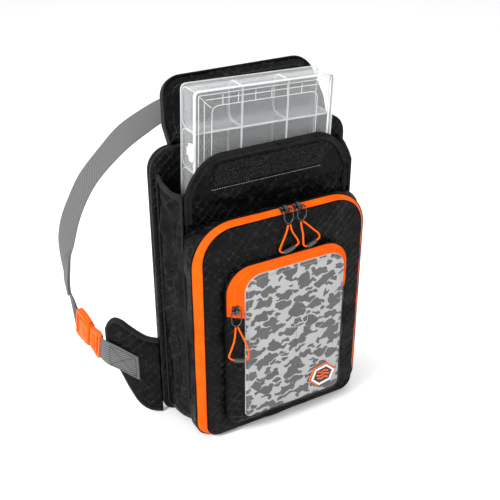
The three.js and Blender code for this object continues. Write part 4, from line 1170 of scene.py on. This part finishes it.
def tail_sections(rows, width):
    """The doubled layer: its end is cut on a slant and lies down on the strap."""
    rings = []
    for i, (m, s, f) in enumerate(zip(*rows)):
        grown = min(1.0, (i + 1) / TAIL_SLANT)
        rise = min(1.0, (i + 1) / TAIL_RISE)
        wide = width * (0.06 + 0.94 * grown)
        middle_at = width / 2 - wide / 2
        section = lens_section(wide, STRAP_THICKNESS * (0.4 + 0.6 * rise), 4)
        offset = 0.0006 + (STRAP_THICKNESS - 0.0003) * rise
        rings.append([m + s * (x + middle_at) + f * (offset + y + STRAP_CUP * (2 * x / width) ** 2)
                      for x, y in section])
    return rings


tail = skin("strap_tail_layer", tail_sections(tail_lines, STRAP_WIDTH * 0.97), WEBBING)
on_bag(tail, "grey_webbing", "strap_tail")

TAB_THICKNESS = 0.0024
TAB_ROWS = [(0.4, 0.52), (0.6, 0.58), (0.8, 0.63), (1.0, 0.66)]
TAB_OUT = WING_THICKNESS / 2 + 0.0008 + TAB_THICKNESS / 2
tab_rows = [(wing_point(share, height * WING_HEIGHT, TAB_OUT), (0, 0, -1)) for share, height in TAB_ROWS]
tab_rows += [(TAB_END + BUCKLE_ALONG * start, -BUCKLE_ACROSS) for start in (-0.003, -0.0015, -0.0003)]
tab_lines = dense_rows(tab_rows, 10)
tab = ribbon("buckle_webbing_tab", tab_lines, 0.037, TAB_THICKNESS)
on_bag(tab, "grey_webbing", "buckle_tab")


def sewn_box(name, rows, first, last, half, thickness, outside):
    """A sewn box with a cross in it, on a ribbon's outer face between two of its rows."""
    middle, side_way, face_way = rows
    sign = 1.0 if np.dot(face_way[first], outside) > 0 else -1.0

    def spot(row, aside):
        low = int(row)
        share = row - low
        at = middle[low] * (1 - share) + middle[min(low + 1, len(middle) - 1)] * share
        return at + side_way[low] * aside + face_way[low] * sign * (thickness / 2 + 0.0003)

    for label, corners in (
        ("box", [(first, -half), (last, -half), (last, half), (first, half), (first, -half)]),
        ("cross_a", [(first, -half), (last, half)]),
        ("cross_b", [(first, half), (last, -half)]),
    ):
        line = []
        for (r0, a0), (r1, a1) in zip(corners, corners[1:]):
            line += [spot(r0 + (r1 - r0) * t, a0 + (a1 - a0) * t) for t in np.linspace(0, 1, 20)]
        out = np.tile(face_way[first] * sign, (len(line), 1))
        seam = stitches(f"{name}_stitches_{label}", np.array(line), out, THREAD, radius=0.0004)
        on_bag(seam, "grey_webbing")


sewn_box("tab", tab_lines, 3, 27, 0.015, TAB_THICKNESS, (0, -1, 0))
sewn_box("strap_seam", strap_lines, 2, 20, 0.0155, STRAP_THICKNESS + 0.0016, (0, 1, 0))

# Hard pieces shown as built, with softened edges and their own finish
for node, material, slot_name, width in (
    ("buckle_frame", ORANGE_PLASTIC, "orange_plastic", 0.0016),
    ("buckle_tongue", ORANGE_PLASTIC, "orange_plastic", 0.0012),
    ("slider_1", GUNMETAL, "gunmetal", 0.0005),
    ("slider_2", GUNMETAL, "gunmetal", 0.0005),
    ("slider_3", GUNMETAL, "gunmetal", 0.0005),
):
    solid = frame["nodes"][node]
    solid.data.materials.clear()
    solid.data.materials.append(material)
    weld = solid.modifiers.new("weld", "WELD")
    weld.merge_threshold = 0.00001
    bevel = solid.modifiers.new("bevel", "BEVEL")
    bevel.width = width
    bevel.segments = 4
    bevel.limit_method = "ANGLE"
    bevel.angle_limit = math.radians(40)


def on_buckle(piece, start):
    """Sets a piece drawn with its length along X and its width along Z on the buckle."""
    def place(co):
        return TAB_END + BUCKLE_ALONG * (start + co[0]) + BUCKLE_ACROSS * co[2] + BUCKLE_FACE * co[1]

    return on_bag(bend(piece, place), "orange_plastic")


FRAME_START = 0.0256
OUTER_FACE = -1.0 if BUCKLE_FACE[0] > 0 else 1.0
shell = rounded(0.0005, 0.0235, -0.0160, 0.0160, 0.006, 0.006, 120)
for label, sign in (("outer", OUTER_FACE), ("inner", -OUTER_FACE)):
    near, far = sign * 0.0040, sign * 0.0056
    high, low = (near, far) if sign < 0 else (far, near)
    crown = {"crown_front" if sign < 0 else "crown_back": 0.0011}
    cover = pad(f"buckle_shell_{label}", shell, high, low, 0.0013, ORANGE_PLASTIC, rings=8, **crown)
    on_buckle(cover, FRAME_START)
    for i in range(2):
        at = 0.0085 + i * 0.0042
        line = [(at - 0.0028 * (1 - abs(t)), sign * 0.0067, 0.0075 * t) for t in np.linspace(-1, 1, 21)]
        on_buckle(sweep(f"buckle_ridge_{label}_{i}", line, circle(0.0006, 8), ORANGE_PLASTIC), FRAME_START)
for label, sign in (("upper", 1), ("lower", -1)):
    line = [(a, 0.0, sign * (0.0195 + 0.0031 * math.sin(math.pi * s)))
            for s, a in zip(np.linspace(0, 1, 24), np.linspace(0.003, 0.023, 24))]
    prong = sweep(f"buckle_prong_{label}", line, lens_section(0.0062, 0.0034), ORANGE_PLASTIC)
    on_buckle(prong, FRAME_START)
for i in range(2):
    line = [(0.012 + i * 0.0045, OUTER_FACE * 0.0034, b) for b in np.linspace(-0.013, 0.013, 9)]
    on_buckle(sweep(f"buckle_tongue_ridge_{i}", line, circle(0.0006, 8), ORANGE_PLASTIC), GAP)

# Clear tray, in its own frame: its top edge and its front face at zero
TRAY_PLACE = Matrix.Translation((-0.0015, -0.0017, 0.447)) @ Matrix.Rotation(math.radians(2), 4, "Y")
TRAY_HALF = 0.092
TRAY_LENGTH = 0.275
TRAY_DEPTH = 0.038
TRAY_WALL = 0.0016
LID_DEPTH = 0.0036
FRONT = LID_DEPTH + GAP
RIM = 0.0012


def tray_piece(piece, slot_name="clear_plastic", *nodes):
    return finish_piece(bend(piece, lambda co: TRAY_PLACE @ co), "tray", slot_name, *nodes)


tray_flat = rounded(-TRAY_HALF, TRAY_HALF, -TRAY_LENGTH, 0.0, 0.006, 0.006, 240)
tray_back = TRAY_DEPTH - STRIP_REACH * TRAY_WALL
tray_piece(strip("tray_outer_wall", tray_flat, FRONT, tray_flat, tray_back, TRAY_WALL, CLEAR, rows=4),
           "clear_plastic", "tray_base")
tray_piece(pad("tray_floor", tray_flat, TRAY_DEPTH, TRAY_DEPTH - TRAY_WALL, 0.0006, CLEAR, rings=3))
tray_piece(strip("tray_front_rim", tray_flat, FRONT, tray_flat, FRONT + 0.0016, 0.0026, EDGE_HIGHLIGHT, rows=3))
rim_flat = inset(tray_flat, -0.0001)
rim_back = TRAY_DEPTH - STRIP_REACH * RIM
tray_piece(strip("tray_rear_rim", rim_flat, TRAY_DEPTH - 0.0014, rim_flat, rim_back, RIM, EDGE_HIGHLIGHT, rows=3))
column = (2 * TRAY_HALF - 4 * TRAY_WALL) / 3
tray_rows = []
high = -TRAY_WALL
for height in (0.047, 0.046, None):
    low = -TRAY_LENGTH + TRAY_WALL if height is None else high - height
    tray_rows.append((low, high))
    high = low - TRAY_WALL
SCOOP = 0.009
SCOOP_CLOSE = 0.0007
SCOOP_GAP = 0.0002


def scoop_profile(low, high):
    """A cell seen from the side: its floor runs up into its two ends in round scoops."""
    back = TRAY_DEPTH - TRAY_WALL - SCOOP - SCOOP_GAP
    foot, head = arc(back, low + SCOOP, SCOOP, -90, 0, 8), arc(back, high - SCOOP, SCOOP, 0, 90, 8)
    return [(FRONT, low), *foot, *head, (FRONT, high)]


def divider(name, ends):
    """A pale bar along the front edge of the walls between the cells: a painted highlight where the clear
    walls catch the light.
    """
    line = np.array([(x, FRONT + 0.0004, z) for x, z in ends])
    return tray_piece(sweep(name, line, lens_section(0.0009, 0.0022), EDGE_HIGHLIGHT))


for r, (low, high) in enumerate(tray_rows):
    profile = scoop_profile(low, high)
    shell = [(y - SCOOP_CLOSE * 0.5, z + (SCOOP_CLOSE if z < (low + high) / 2 else -SCOOP_CLOSE))
             for y, z in profile]
    ring = profile + shell[::-1]
    for c in range(3):
        x0 = -TRAY_HALF + TRAY_WALL + c * (column + TRAY_WALL)
        rings = [[(x, y, z) for y, z in ring] for x in (x0 + 0.0002, x0 + column - 0.0002)]
        tray_piece(skin(f"tray_cell_{r}_{c}", rings, CLEAR, ends="open", sharp=40))
        for side, x in (("l", x0 + 0.0001), ("r", x0 + column - 0.0001)):
            line = np.array([(x, y, z) for y, z in resample(profile, 50)])
            across = np.tile([1.0, 0.0, 0.0], (len(line), 1))
            edge = sweep(f"tray_cell_edge_{r}_{c}_{side}", line, circle(0.00035, 6), EDGE_HIGHLIGHT, across=across)
            tray_piece(edge)
for c in (1, 2):
    x = -TRAY_HALF + TRAY_WALL / 2 + c * (column + TRAY_WALL)
    divider(f"tray_column_edge_{c}", [(x, -0.002), (x, -TRAY_LENGTH / 2), (x, -TRAY_LENGTH + 0.002)])
for r, (low, high) in enumerate(tray_rows[:-1]):
    z = low - TRAY_WALL / 2
    divider(f"tray_row_edge_{r}", [(-TRAY_HALF + 0.002, z), (0, z), (TRAY_HALF - 0.002, z)])

lid_sheet = inset(tray_flat, 0.0004)
tray_piece(pad("tray_lid_sheet", lid_sheet, LID_DEPTH - 0.0002, LID_DEPTH - 0.0014, 0.0004, CLEAR, rings=3),
           "clear_plastic", "tray_lid")
tray_piece(strip("tray_lid_wall", tray_flat, 0.0002, tray_flat, LID_DEPTH, 0.0011, EDGE_HIGHLIGHT, rows=3))
tray_piece(strip("tray_lid_inner_wall", inset(tray_flat, 0.0045), 0.0002, inset(tray_flat, 0.0050),
                 LID_DEPTH - 0.001, 0.0007, EDGE_HIGHLIGHT, rows=3))
tray_piece(strip("tray_lid_frame", inset(tray_flat, 0.0003), 0.0003, inset(tray_flat, 0.0048), 0.0003,
                 0.0006, CLEAR, rows=3))


def lid_mark(name, points, closed=False, count=80):
    """A moulded line in the tray's lid, drawn in milky white as a painted highlight."""
    line = lift(resample(points, count, closed=closed), 0.0021)
    ends = "loop" if closed else "caps"
    return tray_piece(sweep(name, line, lens_section(0.0008, 0.0010), EDGE_HIGHLIGHT, ends=ends))


panel_line = rounded(-0.070, 0.070, -0.255, -0.019, 0.008, 0.008, 200)
lid_mark("tray_lid_panel_line", panel_line, closed=True, count=220)
lid_mark("tray_lid_left_line", [(-0.0795, -0.012), (-0.0795, -0.262)])
lid_mark("tray_lid_corner_line", [(-0.086, -0.006), (-0.071, -0.021)])
lid_mark("tray_lid_top_line", [(-0.078, -0.011), (0.080, -0.011)])
for i, x in enumerate((-0.0565, -0.0368, -0.0145, 0.0066, 0.0276, 0.0473)):
    lid_mark(f"tray_lid_rib_{i}", [(x, -0.007), (x, -0.0185)])

# Shape, its span outwards from the lid, its span in height and its thickness
LATCH_SHAPES = [
    ("body", 0.0012, 0.0142, -0.0088, 0.0088, 0.0016),
    ("hook_upper", 0.0004, 0.0086, 0.0030, 0.0105, 0.0034),
    ("hook_lower", 0.0004, 0.0086, -0.0105, -0.0030, 0.0034),
    ("finger", 0.0104, 0.0146, -0.0050, 0.0050, 0.0034),
]
for i, z in enumerate((-0.071, -0.204)):
    for label, near, far, low, high, deep in LATCH_SHAPES:
        flat = rounded(near, far, z + low, z + high, 0.0014, 0.0014, 80)
        latch = pad(f"tray_latch_{label}_{i + 1}", flat, deep, 0.0, 0.0008, EDGE_HIGHLIGHT, rings=4)
        bend(latch, lambda co: (-TRAY_HALF - GAP - co.y, co.x, co.z))
        tray_piece(latch, "clear_plastic", *([f"tray_latch_{i + 1}"] if label == "body" else []))

# Floor, light and surroundings
FLOOR_HALF = 3.0
FLOOR_LEVEL = -0.0006
corners = [(-1, -1), (1, -1), (1, 1), (-1, 1)]
plane = bpy.data.meshes.new("floor")
plane.from_pydata([(x * FLOOR_HALF, y * FLOOR_HALF, FLOOR_LEVEL) for x, y in corners], [], [(0, 1, 2, 3)])
floor = bpy.data.objects.new("floor", plane)
bpy.context.scene.collection.objects.link(floor)
ground = Graph("pale_floor", grey(0.93), 0.9, specular=0.1)
ground.colour(ground.blend(ground.noise(ground.place(), 0.8), grey(0.92), grey(0.94)))
plane.materials.append(ground.material)

world = bpy.data.worlds.new("studio")
world.use_nodes = True
backdrop = world.node_tree.nodes["Background"]
backdrop.inputs["Color"].default_value = (1, 1, 1, 1)
backdrop.inputs["Strength"].default_value = 0.94
bpy.context.scene.world = world
bpy.context.scene.view_settings.view_transform = "Standard"


def softbox(name, place, towards, size, power):
    data = bpy.data.lights.new(name, "AREA")
    data.shape = "RECTANGLE"
    data.size = size[0]
    data.size_y = size[1]
    data.energy = power
    light = bpy.data.objects.new(name, data)
    light.location = place
    light.rotation_mode = "QUATERNION"
    light.rotation_quaternion = (Vector(place) - Vector(towards)).to_track_quat("Z", "Y")
    bpy.context.scene.collection.objects.link(light)


softbox("key_softbox", (-1.5, -0.35, 1.25), (0, 0, 0.2), (0.5, 0.7), 34)
softbox("fill_softbox", (0.9, -1.5, 1.2), (0, 0, 0.2), (0.7, 0.7), 12)
softbox("top_softbox", (0.1, 0.5, 1.8), (0, 0, 0.2), (1.6, 1.2), 8)
